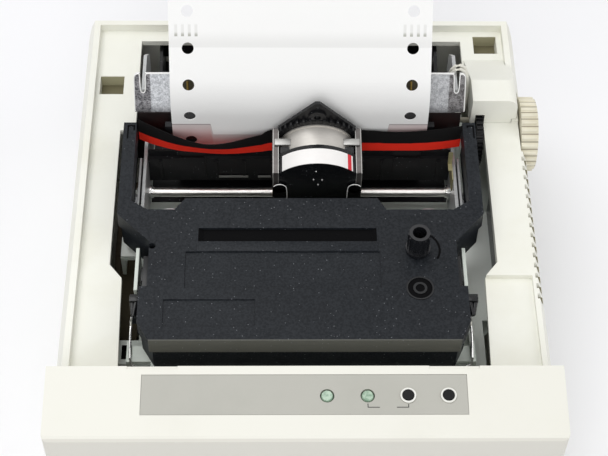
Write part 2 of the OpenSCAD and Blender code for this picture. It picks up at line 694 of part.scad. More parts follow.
module head_side_plates() color("#9b9c9a") on_head() for (s = [-1, 1]) {
  slab(s > 0 ? half_c - 1 : -half_c, s > 0 ? half_c : 1 - half_c)
    polygon([[-18.6, cheek_foot], [-18.6, 3], [-15, 7.6], [-2.4, 7.6], [-2.4, cheek_foot]]);
  block([s > 0 ? 13.4 : -half_c, -2.4, cheek_foot], [s > 0 ? half_c : -13.4, -1.2, 8]);
}

belt_in = pulley_r + belt_gap;
module drive_belt() color("#202123") mech() translate([0, belt_y, belt_z]) linear_extrude(belt_h) difference() {
  union() {
    square([2 * belt_x, 2 * (belt_in + belt_t)], center = true);
    for (s = [-1, 1]) translate([s * belt_x, 0]) circle(belt_in + belt_t);
  }
  square([2 * belt_x, 2 * belt_in], center = true);
  for (s = [-1, 1]) translate([s * belt_x, 0]) circle(belt_in);
}

module pulley(x) mech() translate([x, belt_y, 0]) {
  post(0, 0, chassis_z + 0.5, -19, pulley_r);
  for (z = [chassis_z + 0.5, -19.2]) post(0, 0, z, z + 0.8, pulley_r + 1.4);
}
module motor_pulley() color("#d9dcde") {
  pulley(belt_x);
  mech() post(belt_x, belt_y, chassis_z - steel_t - 5, -18, pin_shaft_r);
}
module idler_pulley() color("#e3e2dc") difference() {
  pulley(-belt_x);
  mech() post(-belt_x, belt_y, -30, -10, pin_shaft_r + run_gap);
}
module idler_axle() color("#c4c7c9") mech() {
  post(-belt_x, belt_y, chassis_z - steel_t - 1, -17.8, pin_shaft_r);
  post(-belt_x, belt_y, -18.1, -17.4, pin_shaft_r + 1);
}

module carriage_motor() color("#8b8f92") mech() difference() {
  union() {
    post(belt_x, belt_y, chassis_z - steel_t - drive_h, chassis_z - steel_t, drive_r);
    block([belt_x - 4, belt_y - 16.5, chassis_z - steel_t - 1], [belt_x + 4, belt_y + 16.5, chassis_z - steel_t]);
  }
  post(belt_x, belt_y, chassis_z - steel_t - 6, chassis_z, pin_shaft_r + run_gap);
}

module feed_shaft() color("#c4c7ca") place()
  rod(mech_x - lip_x, wheel_x + wheel_w - 1.2, feed_shaft_d / 2, feed_y, feed_z);

module feed_roller() color("#3a3b3e") mech() difference() {
  rod(-32, 32, pin_wheel_r, feed_y, feed_z);
  rod(-33, 33, feed_shaft_d / 2, feed_y, feed_z);
}

module pin_wheels() color("#2c2d30") mech() translate([0, feed_y, feed_z]) for (s = [-1, 1]) difference() {
  union() {
    rod(s * hole_span / 2 - pin_wheel_w / 2, s * hole_span / 2 + pin_wheel_w / 2, pin_wheel_r, 0, 0);
    for (k = [0:pin_count - 1]) translate([s * hole_span / 2, 0, 0])
      rotate([90 - pin_phase / pitch_r * 180 / PI + k * 360 / pin_count, 0, 0]) {
        cylinder(h = pitch_r + 0.5, r = pin_r);
        translate([0, 0, pitch_r + 0.5 - eps]) cylinder(h = pin_tip - pitch_r - 0.5, r1 = pin_r, r2 = 0.8);
      }
  }
  rod(-60, 60, feed_shaft_d / 2, 0, 0);
}

module feed_gear() color("#2b2c2e") place() translate([gear_x, feed_y, feed_z]) rotate([90, 0, 90]) {
  gear(feed_teeth, gear_mod, gear_w, feed_shaft_d / 2);
  translate([0, 0, -1.5]) difference() {
    cylinder(h = 1.5 + eps, r = 4.5);
    translate([0, 0, -1]) cylinder(h = 4, r = feed_shaft_d / 2);
  }
}

module paper_wheel() color("#dcd6bf") place() translate([wheel_x, feed_y, feed_z]) rotate([90, 0, 90]) difference() {
  union() {
    cylinder(h = wheel_w, r = wheel_r - 0.7);
    for (i = [0:rib_count - 1]) rotate([0, 0, i * 360 / rib_count]) translate([wheel_r - 0.7, 0, 0])
      cylinder(h = wheel_w - 0.6, r = 0.7, $fn = 16);
  }
  translate([0, 0, wheel_w - 1.2]) difference() {
    cylinder(h = 3, r = wheel_r - 3);
    cylinder(h = 3, r = 5.5);
  }
  translate([0, 0, -1]) cylinder(h = wheel_w - 0.2, r = feed_shaft_d / 2);
}

module feed_motor() color("#7f8386") place() difference() {
  union() {
    rod(mech_x + frame_x - step_w, mech_x + frame_x, step_r, pinion_y, pinion_z);
    rod(mech_x + frame_x - eps, mech_x + frame_x + steel_t, 2, pinion_y, pinion_z);
  }
  rod(mech_x + frame_x - 5, mech_x + frame_x + 3, pin_shaft_r + run_gap, pinion_y, pinion_z);
}

module feed_pinion() color("#d8d3c2") place() {
  translate([gear_x, pinion_y, pinion_z]) rotate([90, 0, 90]) rotate([0, 0, 180 + pinion_dir + 15])
    gear(pinion_teeth, gear_mod, gear_w, pin_shaft_r - eps);
  rod(mech_x + frame_x - 4, gear_x + gear_w + 0.3, pin_shaft_r, pinion_y, pinion_z);
}

// The tear-off plate: an upright tab behind the platen, then a slope up and back
tear_t = 1;
tear_lean = 26;
tear_len = 21.8;
tear_front = [-54.1, 2.9];
tear_foot = 1.2;
tab_half = 31;
tear_half = frame_x + 3.7;
tear_under = 9.5;
tear_top = tear_front + tear_len * [sin(tear_lean), cos(tear_lean)];
tear_back = tear_top + tear_t * [cos(tear_lean), -sin(tear_lean)];
module platen_bar() color("#2a2b2c") mech()
  block([-47, print_y + 0.33, tear_foot], [47, tear_front.x, tear_foot + 6.8]);

// Everything in here is drawn in the plane of the slope, as width and length up the slope
module on_slope() translate([0, tear_front.x, tear_front.y]) rotate([90 - tear_lean, 0, 0])
  linear_extrude(6, center = true) children();

module tear_plate() color("#a3a7a8") mech() difference() {
  slab(-tear_half, tear_half) polygon([[tear_front.x, tear_foot], tear_front, tear_top, tear_back,
    [tear_front.x + tear_t, tear_front.y - 0.23], [tear_front.x + tear_t, tear_foot]]);
  for (s = [-1, 1]) {
    block([s > 0 ? tab_half : -tear_half - 1, -60, 0], [s > 0 ? tear_half + 1 : -tab_half, -40, tear_under]);
    on_slope() difference() {
      translate([s * (tear_half - 0.5) - 1, tear_len - 1.5]) square([2, 3]);
      translate([s * (tear_half - 1.5), tear_len - 1.5]) circle(1.5);
    }
    on_slope() translate([s * (frame_x + 0.6), tear_len - 6.5]) {
      translate([-0.9, 0]) square([1.8, 8]);
      circle(0.9);
    }
  }
}

module front_guide() color("#1f2023") mech() difference() {
  union() {
    block([-frame_x, print_y - 2.2, -19], [frame_x, print_y - 0.9, -6.5]);
    for (i = [-5:5]) block([i * 9.9 - 0.5, print_y - 2.8, -18], [i * 9.9 + 0.5, print_y - 2, -7.5]);
  }
  for (s = [-1, 1]) block([s * hole_span / 2 - 4.2, -62, -16.5], [s * hole_span / 2 + 4.2, -50, -5]);
}

// The chute that leads the sheet in from the back wall
chute_half = frame_x - 1.7;
chute_front = -27;
chute_t = 1.2;
chute_z = sheet_z - 2.1;
chute_back = rear_y - wall - 0.1;
module paper_chute() color("#1d1e20") mech() difference() {
  union() {
    block([-chute_half, chute_front, chute_z], [chute_half, chute_back, chute_z + chute_t]);
    for (s = [-1, 1]) slab(s > 0 ? chute_half - chute_t : -chute_half, s > 0 ? chute_half : chute_t - chute_half)
      polygon([[chute_front + 8, chute_z], [chute_front + 8, -14], [-6, -8], [-0.4, -8], [-0.4, -15.5],
        [chute_back, -15.5], [chute_back, chute_z]]);
    block([-chute_half, -0.4 - chute_t, -15.5], [chute_half, -0.4, -8]);
  }
  block([36, -60, sheet_z - 4], [chute_half + 1, chute_front + 7, 0]);
}

paper_x = mech_x;
lean_end = lean_at + lean_len;
function path_y(s) = s < -wrap_len ? feed_y - wrap_len - s
  : s < 0 ? feed_y - pitch_r * cos(-s / pitch_r * 180 / PI)
  : s < lean_at ? print_y
  : s < lean_end ? print_y + lean_r * (1 - cos((s - lean_at) / lean_r * 180 / PI))
  : print_y + lean_r * (1 - cos(lean)) + (s - lean_end) * sin(lean);
function path_z(s) = s < -wrap_len ? sheet_z
  : s < 0 ? feed_z - pitch_r * sin(-s / pitch_r * 180 / PI)
  : s < lean_at ? feed_z + s
  : s < lean_end ? lean_z + lean_r * sin((s - lean_at) / lean_r * 180 / PI)
  : lean_z + lean_r * sin(lean) + (s - lean_end) * cos(lean);
function path_turn(s) = s < -wrap_len ? 180 : s < 0 ? 90 - s / pitch_r * 180 / PI
  : s < lean_at ? 90 : s < lean_end ? 90 - (s - lean_at) / lean_r * 180 / PI : 90 - lean;

// Stations along the sheet, close together where it bends, and the sheet's two faces there
stations = concat([sheet_tail], [for (i = [0:15]) wrap_len * (i / 15 - 1)],
  [for (i = [0:12]) lean_at + lean_len * i / 12], [sheet_top]);
function face(side) = [for (s = stations)
  [path_y(s), path_z(s)] + side * paper_t / 2 * [-sin(path_turn(s)), cos(path_turn(s))]];
function back_to_front(pts) = [for (k = [len(pts) - 1:-1:0]) pts[k]];

module paper() color("#f7f6f1") place() translate([paper_x, 0, 0]) difference() {
  slab(-paper_w / 2, paper_w / 2) polygon(concat(face(1), back_to_front(face(-1))));
  for (k = [-rows_down:rows_up], side = [-1, 1]) let (s = pin_phase + k * hole_pitch)
    translate([side * hole_span / 2, path_y(s), path_z(s)]) rotate([path_turn(s), 0, 0])
      cylinder(h = 4, r = hole_d / 2, center = true);
}

module contact_leaf() color("#c8a24a") place() {
  block([mech_x + frame_x - 0.4, -70, -11], [mech_x + frame_x, -61, -4.4]);
  slab(mech_x + frame_x - 1.5, mech_x + frame_x)
    polygon([[-66, -4.8], [-62.5, -4.8], [-61.6, 0.4], [-62, 0.5], [-63, -4.4], [-66, -4.4]]);
}

cradle_half = hip - 5.1;
module cassette_cradle() color("#aab0ad") mech() difference() {
  union() {
    block([-cradle_half, -144, cradle_z], [cradle_half, -96, -base_h]);
    for (s = [0, 1]) {
      block([strips[s] - 0.6, -120, cradle_z], [strips[s] + 0.6, strip_rear, 0.5]);
      block([s ? cradle_half - 1 : strips[0] - 0.6, -120, cradle_z], [s ? strips[1] + 0.6 : 1 - cradle_half, strip_rear, -base_h]);
    }
    for (s = [-1, 1]) {
      block([s > 0 ? cradle_half - 1 : -ear_x + 0.3, pivot_y - 3, cradle_z],
        [s > 0 ? ear_x - 0.3 : 1 - cradle_half, pivot_y + 3, -base_h]);
      block([s > 0 ? ear_x - 1.5 : -ear_x + 0.3, pivot_y - 3, pivot_z - 2.2],
        [s > 0 ? ear_x - 0.3 : -ear_x + 1.5, pivot_y + 3, -base_h]);
    }
  }
  rod(-ear_x, ear_x, pivot_r + run_gap, pivot_y, pivot_z);
  post(knob_x, drive_y, -20, 0, 2 + run_gap);
  block([-30, -132, -20], [18, -112, 0]);
}

// A round wire swept along hand-chosen points, its cross-section turned to halve each bend
tube_n = 10;
function unit(v) = v / norm(v);
function heading(pts, i) = i == 0 ? unit(pts[1] - pts[0])
  : i == len(pts) - 1 ? unit(pts[i] - pts[i - 1])
  : unit(unit(pts[i + 1] - pts[i]) + unit(pts[i] - pts[i - 1]));
function ring(c, d, r) = let (u = unit(cross(d, [0.9, 0.1, 0.05])), w = cross(d, u))
  [for (k = [0:tube_n - 1]) let (a = 360 * k / tube_n) c + r * (cos(a) * u + sin(a) * w)];
module wire(pts, r) {
  last = (len(pts) - 1) * tube_n;
  polyhedron(points = [for (i = [0:len(pts) - 1]) each ring(pts[i], heading(pts, i), r)],
    faces = concat([[for (k = [0:tube_n - 1]) k]], [[for (k = [tube_n - 1:-1:0]) last + k]],
      [for (i = [0:len(pts) - 2], k = [0:tube_n - 1]) let (a = i * tube_n, n = (k + 1) % tube_n)
        [a + k, a + tube_n + k, a + tube_n + n, a + n]]));
}

spring_pts = [[-6.62, -143, -10.4], [-3.2, -143.4, -10.3], [-0.5, -142.8, -8.8], [-0.2, -141.6, -6.5],
  [-0.2, -139, -5], [-0.2, -134.5, -3.6], [-0.3, -131.8, -2.9], [-0.4, -130.8, -1.4], [-0.7, -130.6, 0.4]];
module latch_springs() color("#c3c6c8") mech() for (s = [-1, 1])
  wire([for (p = spring_pts) [s * (ear_x + p.x), p.y, p.z]], 0.4);

// Half outline of the cassette from the front centre round to the back, drawn in by an inset and a trim
function cart_half(i, t) = [[cart_side - 1.6 * t - i, cart_front + i], [hip - t - i, cart_front + 7.4 + i / 2],
  [hip - t - i, hip_y - i], [waist - t - i, hip_y - i], [waist - t - i, waist_y + i / 2], [arm_out - i, arm_back + i / 2],
  [arm_out - i, arm_tip - i], [arm_out - arm_w + i, arm_tip - i], [arm_out - arm_w + i, -88 - i],
  [waist, body_rear - i]];
function flip(pts) = [for (k = [len(pts) - 1:-1:0]) [-pts[k].x, pts[k].y]];
function cart_edge(i) = concat(cart_half(i, 0), [[28.9 - i, body_rear - i], [26.1 - i, lip_rear - i],
  [-38.9 + i, lip_rear - i], [-42.3 + i, body_rear - i]], flip(cart_half(i, cart_trim)));

knob_gap = 0.35;
knob_r = knob_d / 2;
module cassette_cover() color("#2d2f36") mech() difference() {
  linear_extrude(cover_h) polygon(cart_edge(0));
  translate([0, 0, -1]) linear_extrude(cover_h - cart_wall + 1) polygon(cart_edge(cart_wall));
  block([-34, -105, cover_h - 0.9], [25.2, -99.5, cover_h + 1]);
  block([-38, -123.6, cover_h - 0.5], [26, -109.1, cover_h + 1]);
  block([-44.5, -138.4, cover_h - 0.5], [-14.9, -128, cover_h + 1]);
  post(-49.1, -106.8, 0, cover_h + 1, 1.1);
  post(knob_x, knob_y, 0, cover_h + 1, knob_r + knob_gap);
}

cell_z = 1.4 - base_h;
module cassette_base() color("#2b2d33") mech() difference() {
  union() {
    difference() {
      translate([0, 0, -base_h]) linear_extrude(base_h) polygon(cart_edge(0.8));
      translate([0, 0, cell_z]) linear_extrude(base_h) polygon(cart_edge(0.8 + cart_wall));
    }
    block([hip - 1.6, -129, -6], [hip + 1.4, -123.8, -1]);
    block([-hip - 1.4, -129, -6], [1.6 + cart_trim - hip, -123.8, -1]);
    post(pinch_x, knob_y, cell_z - eps, 3, 1.5);
    post(knob_x, knob_y, cell_z - eps, -4, 1.5);
  }
  post(knob_x, drive_y, -base_h - 1, 0, 3.3 + knob_gap);
}

// The ribbon runs back to the arm tips at its ends and hangs slack in a bow on the left
ribbon_end_x = arm_out - arm_w - 0.15;
slack_x = -33;
function bow(x) = ribbon_y - 0.2
  + (ribbon_end - ribbon_y) * pow(max(0, (abs(x) - 40) / (ribbon_end_x - 40)), 2)
  - ribbon_bow * exp(-pow((x - slack_x) / (x < slack_x ? 9 : 13), 2));
ribbon_pts = [for (k = [-24:24]) let (x = k * ribbon_end_x / 24) [x, bow(x)]];
module ribbon() color("#1c1b1d") mech() translate([0, 0, -3]) linear_extrude(ribbon_h)
  polygon(concat([for (p = ribbon_pts) p + [0, ribbon_t / 2]],
    [for (k = [len(ribbon_pts) - 1:-1:0]) ribbon_pts[k] - [0, ribbon_t / 2]]));

module ribbon_knob() color("#34363c") mech() translate([knob_x, knob_y, 0]) difference() {
  union() {
    post(0, 0, -3.4, cover_h + knob_h, knob_r);
    post(0, 0, cover_h + 0.3, cover_h + 1.6, knob_r + 0.7);
    for (k = [0:11]) rotate([0, 0, k * 30]) translate([knob_r, 0, cover_h + 1.6])
      cylinder(h = knob_h - 2.4, r = 0.35, $fn = 16);
  }
  post(0, 0, cover_h + 3, cover_h + knob_h + 1, 2.3);
  post(0, 0, -5, 1, 1.5 + run_gap);
}

module ribbon_gear() color("#dedbd0") mech() translate([knob_x, knob_y, -3.2]) gear(drive_teeth, drive_mod, 4, knob_r);

module drive_socket() color("#dedbd0") mech() translate([knob_x, drive_y, 0]) difference() {
  union() {
    translate([0, 0, -3.2]) rotate([0, 0, 90 / drive_teeth * 2]) gear(drive_teeth, drive_mod, 4, 3);
    post(0, 0, -8.4, 5, 3.3);
  }
  post(0, 0, -9, 6, 2.3);
}

module pinch_roller() color("#3b3c3f") mech() translate([pinch_x, knob_y, 0]) difference() {
  union() {
    translate([0, 0, -3.2]) gear(pinch_teeth, drive_mod, 4, 3);
    post(0, 0, -3.2, 4.4, 3.6);
  }
  post(0, 0, -5, 6, 1.5 + run_gap);
}

module ribbon_spindle() color("#d2d0c6") mech() translate([knob_x, drive_y, 0]) {
  post(0, 0, -18, 4, 2);
  post(0, 0, -16, -14, 6);
  for (k = [0:2]) rotate([0, 0, k * 120]) block([0, -0.5, -6], [2.2, 0.5, 4]);
}

lead_pts = [[-6.9, -36, -4], [-4.9, -37, 2], [-2.4, -38.5, 9], [-1.3, -39.2, 14], [-0.5, -39.4, 17],
  [0.7, -39.2, 18.6], [2.5, -38.8, 18.4], [4.1, -38, 16.4], [5.5, -37, 12], [6.1, -36.4, 6], [6.5, -36, -6]];
lead_span = cover_l - mech_x - frame_x - 7.3;
module sensor_leads() color("#e9e8e2") place() for (k = [0, 1])
  wire([for (p = lead_pts) k * [0.1, 1.7, 0.2]
    + [mech_x + frame_x + p.x + max(0, p.x) / 6.5 * lead_span, p.y, p.z]], 0.6);

lower_case();
upper_case();
front_bezel();
gear_cover();
panel_plate();
button_rings();
select_button();
feed_button();
power_lamp();
alarm_lamp();
panel_board();
rubber_feet();
case_screws();
main_board();
transformer();
power_inlet();
power_rocker();
interface_connector();
chassis();
chassis_screws();
side_frame_left();
side_frame_right();
guide_shaft();
rear_rail();
carriage();
carriage_bushes();
head_nose();
head_body();
head_cap();
head_band();
head_side_plates();
drive_belt();
motor_pulley();
idler_pulley();
idler_axle();
carriage_motor();
feed_shaft();
feed_roller();
pin_wheels();
feed_gear();
paper_wheel();
feed_motor();
feed_pinion();
platen_bar();
front_guide();
paper_chute();
tear_plate();
paper();
contact_leaf();
cassette_cradle();
latch_springs();
cassette_cover();
cassette_base();
ribbon();
ribbon_knob();
ribbon_gear();
drive_socket();
pinch_roller();
ribbon_spindle();
sensor_leads();
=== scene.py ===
"""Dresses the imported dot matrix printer: finishes for every part, small fittings, and a pale studio."""
import functools
import math

import bmesh
import bpy
from bpy.props import FloatProperty, FloatVectorProperty, IntProperty, PointerProperty
from mathutils import Matrix, Vector


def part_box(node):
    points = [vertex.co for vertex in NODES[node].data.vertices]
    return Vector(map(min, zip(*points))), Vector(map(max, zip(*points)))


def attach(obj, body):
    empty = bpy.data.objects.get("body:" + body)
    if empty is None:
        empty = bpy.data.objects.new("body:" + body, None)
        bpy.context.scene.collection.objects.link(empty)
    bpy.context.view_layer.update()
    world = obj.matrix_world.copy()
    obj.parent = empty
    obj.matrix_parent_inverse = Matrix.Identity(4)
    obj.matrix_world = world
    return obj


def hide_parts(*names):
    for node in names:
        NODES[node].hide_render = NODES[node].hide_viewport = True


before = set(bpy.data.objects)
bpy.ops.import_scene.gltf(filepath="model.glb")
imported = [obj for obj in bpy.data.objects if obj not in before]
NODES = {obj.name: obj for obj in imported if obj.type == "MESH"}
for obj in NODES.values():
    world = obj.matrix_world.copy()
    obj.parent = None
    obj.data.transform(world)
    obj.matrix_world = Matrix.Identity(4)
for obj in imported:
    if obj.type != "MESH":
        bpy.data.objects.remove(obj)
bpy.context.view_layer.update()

bl_info = {
    "name": "Dot matrix printer",
    "version": (1, 0, 0),
    "blender": (4, 5, 0),
    "location": "View3D > Sidebar > Printer",
    "description": "Finishes and fittings for a small dot matrix printer with its top cover off",
    "category": "Object",
}

MM = 0.001
SIDES = (-1, 1)
SIDE_NAMES = {-1: "left", 1: "right"}
SHARP_EDGE = math.radians(35)

# The printer's own measuring point: the middle of the case across, the rim's rear inner edge, the rim's top.
upper_low, upper_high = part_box("upper_case")
RIM_INSET = 5.0
RIM = Vector(((upper_low.x + upper_high.x) / 2, upper_high.y - RIM_INSET * MM, upper_high.z))

# Places and sizes in millimetres from the measuring point, and angles in degrees
MECH_X = -1.0
HEAD_X, HEAD_Y, HEAD_Z, HEAD_TILT = 4.8, -58.0, 3.5, 5.0
BEZEL_Y, BEZEL_Z, BEZEL_TILT = -156, 12, 7.5
BEZEL_FRONT_Y, CASSETTE_FRONT_Y = -179.1, -143.1
CASSETTE_TOP = 7.0
KNOB_X, KNOB_Y, DRIVE_Y = 38.5, -108.4, -123.75
PRINT_LINE_Y = -58.0
RIBBON_FOOT_Z, RIBBON_HEIGHT, RIBBON_HALF, RIBBON_THICK = -3.0, 11.2, 56.8, 0.14
TEAR_SLOPE = math.radians(26)
WHEEL_RIBS = 29
wheel_low, wheel_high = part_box("paper_wheel")
WHEEL_R = (wheel_high.z - wheel_low.z) / 2
WHEEL_Y = ((wheel_low.y + wheel_high.y) / 2 - RIM.y) / MM
WHEEL_Z = ((wheel_low.z + wheel_high.z) / 2 - RIM.z) / MM

# The photograph's width in pixels, and the camera that a pinhole fit to the case's rim gave
PHOTO_WIDTH = 608
FOCAL_PIXELS = 1540.8
SENSOR_WIDTH = 36
CAMERA_SPOT = (-7.8, -403.5, 420.2)
CAMERA_DOWN, CAMERA_YAW, CAMERA_ROLL = 53.65, 1.48, 1.19


def at(x, y, z):
    """A point in millimetres from the measuring point, as a place in the shared frame."""
    return RIM + Vector((x, y, z)) * MM


def frame_at(x, y, z, tilt=0.0):
    """A frame that stands at such a point, leaning back by a tilt in degrees."""
    return Matrix.Translation(at(x, y, z)) @ Matrix.Rotation(math.radians(tilt), 4, "X")


# What places are given in: the case's own frame, the mechanism's, the tilted head's and the bezel's
CASE = frame_at(0, 0, 0)
MECH = frame_at(MECH_X, 0, 0)
HEAD = frame_at(HEAD_X, HEAD_Y, HEAD_Z, HEAD_TILT)
BEZEL = frame_at(0, BEZEL_Y, BEZEL_Z, BEZEL_TILT)


def linear(rgb):
    """An sRGB colour in steps of 255, as Blender's linear colour."""
    def one(c):
        c /= 255
        return c / 12.92 if c <= 0.04045 else ((c + 0.055) / 1.055) ** 2.4
    return tuple(one(c) for c in rgb)


# ---- settings ----

class CaseSettings(bpy.types.PropertyGroup):
    cream: FloatVectorProperty(name="Case cream", description="Colour of the case plastic",
                               subtype="COLOR", default=linear((238, 238, 229)), min=0, max=1)
    white: FloatVectorProperty(name="Bezel white", description="Colour of the front bezel",
                               subtype="COLOR", default=linear((229, 228, 219)), min=0, max=1)
    edge: FloatProperty(name="Edge rounding", description="Rounding along the moulded edges",
                        subtype="DISTANCE", default=0.35 * MM, min=0, max=1 * MM)


class CassetteSettings(bpy.types.PropertyGroup):
    charcoal: FloatVectorProperty(name="Cassette charcoal", description="Colour of the ribbon cassette",
                                  subtype="COLOR", default=linear((14, 18, 23)), min=0, max=1)
    red: FloatVectorProperty(name="Ribbon red", description="Colour of the ribbon's lower half",
                             subtype="COLOR", default=linear((255, 54, 36)), min=0, max=1)


class MechanismSettings(bpy.types.PropertyGroup):
    shaft_ring: FloatProperty(name="Retaining ring", description="Outer radius of the rings on the guide shaft",
                              subtype="DISTANCE", default=2.7 * MM, min=2 * MM, max=3.2 * MM)
    zinc: FloatVectorProperty(name="Zinc", description="Colour of the plated sheet steel",
                              subtype="COLOR", default=linear((218, 225, 217)), min=0, max=1)
    cap_pins: IntProperty(name="Cap pins", description="Small bright pins on the print head's cap",
                          default=4, min=0, max=4)


class StudioSettings(bpy.types.PropertyGroup):
    key: FloatProperty(name="Key light", description="Power of the large light above", unit="POWER",
                       default=5.0, min=0, max=50)
    fill: FloatProperty(name="Fill light", description="Power of the front and side lights", unit="POWER",
                        default=4.5, min=0, max=50)
    room: FloatProperty(name="Room light", description="Strength of the even light from all round",
                        default=0.55, min=0, max=2)


# ---- mesh helpers ----

def add_block(bm, low, high, where=CASE, round_by=0.0):
    """A box between two corners in millimetres, in a given frame, with its edges rounded."""
    low, high = Vector(low), Vector(high)
    size = (high - low) * MM
    place = where @ Matrix.Translation((low + high) / 2 * MM) @ Matrix.Diagonal((*size, 1))
    verts = bmesh.ops.create_cube(bm, size=1, matrix=place)["verts"]
    if round_by:
        edges = [e for e in bm.edges if e.verts[0] in verts]
        bmesh.ops.bevel(bm, geom=edges, offset=round_by * MM, segments=2, profile=0.5,
                        affect="EDGES", material=-1, clamp_overlap=True)
    return verts


def mirrored(side, low, high):
    """A block's two corners, as given on the right (1) or changed over to the left (-1)."""
    if side > 0:
        return low, high
    return (-high[0], *low[1:]), (-low[0], *high[1:])


def on_both_sides(rows):
    """Blocks given on the right, as blocks on the left and then on the right."""
    return [mirrored(side, low, high) for side in SIDES for low, high in rows]


def add_rod(bm, a, b, radius, where=CASE, radius_b=None, sides=32):
    """A cylinder or cone from a to b, in millimetres."""
    a, b = Vector(a), Vector(b)
    turn = (b - a).to_track_quat("Z", "Y").to_matrix().to_4x4()
    place = where @ Matrix.Translation((a + b) / 2 * MM) @ turn
    bmesh.ops.create_cone(bm, cap_ends=True, segments=sides, radius1=radius * MM,
                          radius2=(radius if radius_b is None else radius_b) * MM,
                          depth=(b - a).length * MM, matrix=place)


def add_ring(bm, centre, axis, inner, outer, height, where=CASE, start=0.0, sweep=360.0, steps=48):
    """A flat ring, or a stretch of one, spun round an axis from a small upright section."""
    axis = Vector(axis).normalized()
    side = axis.orthogonal().normalized()
    side = Matrix.Rotation(math.radians(start), 3, axis) @ side
    corners = [(inner, 0), (outer, 0), (outer, height), (inner, height)]
    verts = [bm.verts.new(where @ ((Vector(centre) + side * r + axis * h) * MM)) for r, h in corners]
    face = bm.faces.new(verts)
    full = sweep >= 360
    bmesh.ops.spin(bm, geom=[face] + list(face.edges) + verts, cent=where @ (Vector(centre) * MM),
                   axis=(where.to_3x3() @ axis), angle=math.radians(sweep), steps=steps,
                   use_merge=full, use_duplicate=False)
    if full:
        bmesh.ops.delete(bm, geom=[f for f in bm.faces if f is face], context="FACES_ONLY")


def close_rim(bm):
    """Fills every open edge loop with one face."""
    bmesh.ops.holes_fill(bm, edges=[e for e in bm.edges if e.is_boundary], sides=0)


def add_dome(bm, centre, radius, height, where=CASE):
    """A low round screw head."""
    verts = bmesh.ops.create_uvsphere(bm, u_segments=28, v_segments=14, radius=1)["verts"]
    size = Matrix.Diagonal((radius * MM, radius * MM, height * MM, 1))
    place = where @ Matrix.Translation(Vector(centre) * MM) @ size
    bmesh.ops.transform(bm, matrix=place, verts=verts)
    under = [v for v in verts if (place.inverted() @ v.co).z < -0.2]
    bmesh.ops.delete(bm, geom=under, context="VERTS")
    close_rim(bm)


def piece(name, bm, look, body, slot):
    """Makes a mesh an object with a named finish, which moves with a body."""
    bmesh.ops.remove_doubles(bm, verts=bm.verts, dist=1e-7)
    bmesh.ops.recalc_face_normals(bm, faces=bm.faces)
    for f in bm.faces:
        f.smooth = True
    for e in bm.edges:
        e.smooth = len(e.link_faces) == 2 and e.calc_face_angle(0) < SHARP_EDGE
    mesh = bpy.data.meshes.new(name)
    bm.to_mesh(mesh)
    bm.free()
    mesh.materials.append(finish(look))
    obj = bpy.data.objects.new(name, mesh)
    bpy.context.scene.collection.objects.link(obj)
    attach(obj, body)
    return obj


def block_piece(name, rows, look, body, slot, where=MECH, round_by=0.0):
    """A piece made of blocks alone, each row giving a block's two corners."""
    bm = bmesh.new()
    for low, high in rows:
        add_block(bm, low, high, where, round_by)
    piece(name, bm, look, body, slot)


def wire(name, points, radius, look, body, slot, where=CASE):
    """A round wire through points in millimetres, as a smooth closed tube."""
    curve = bpy.data.curves.new(name, "CURVE")
    curve.dimensions = "3D"
    curve.bevel_depth = radius * MM
    curve.bevel_resolution = 4
    curve.use_fill_caps = True
    curve.resolution_u = 8
    line = curve.splines.new("NURBS")
    line.points.add(len(points) - 1)
    for p, spot in zip(line.points, points):
        p.co = (*(where @ (Vector(spot) * MM)), 1)
    line.order_u = 3
    line.use_endpoint_u = True
    obj = bpy.data.objects.new(name, curve)
    bpy.context.scene.collection.objects.link(obj)
    curve.materials.append(finish(look))
    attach(obj, body)


def dress(node, look, edge=0.0):
    """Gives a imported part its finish, and rounds its edges where they show."""
    obj = NODES[node]
    obj.data.materials.clear()
    obj.data.materials.append(finish(look))
    if edge:
        weld = obj.modifiers.new("weld", "WELD")
        weld.merge_threshold = 1e-6
        bevel = obj.modifiers.new("edges", "BEVEL")
        bevel.width = edge
        bevel.segments = 2
        bevel.limit_method = "ANGLE"
        bevel.angle_limit = SHARP_EDGE
        bevel.use_clamp_overlap = True
        bevel.harden_normals = False


# ---- shader helpers ----

def plain_colour(colour):
    """A linear colour from steps of 255, or from the group and name of one that the user can change."""
    if isinstance(colour[0], str):
        return tuple(getattr(getattr(bpy.context.scene, colour[0]), colour[1]))
    return linear(colour)


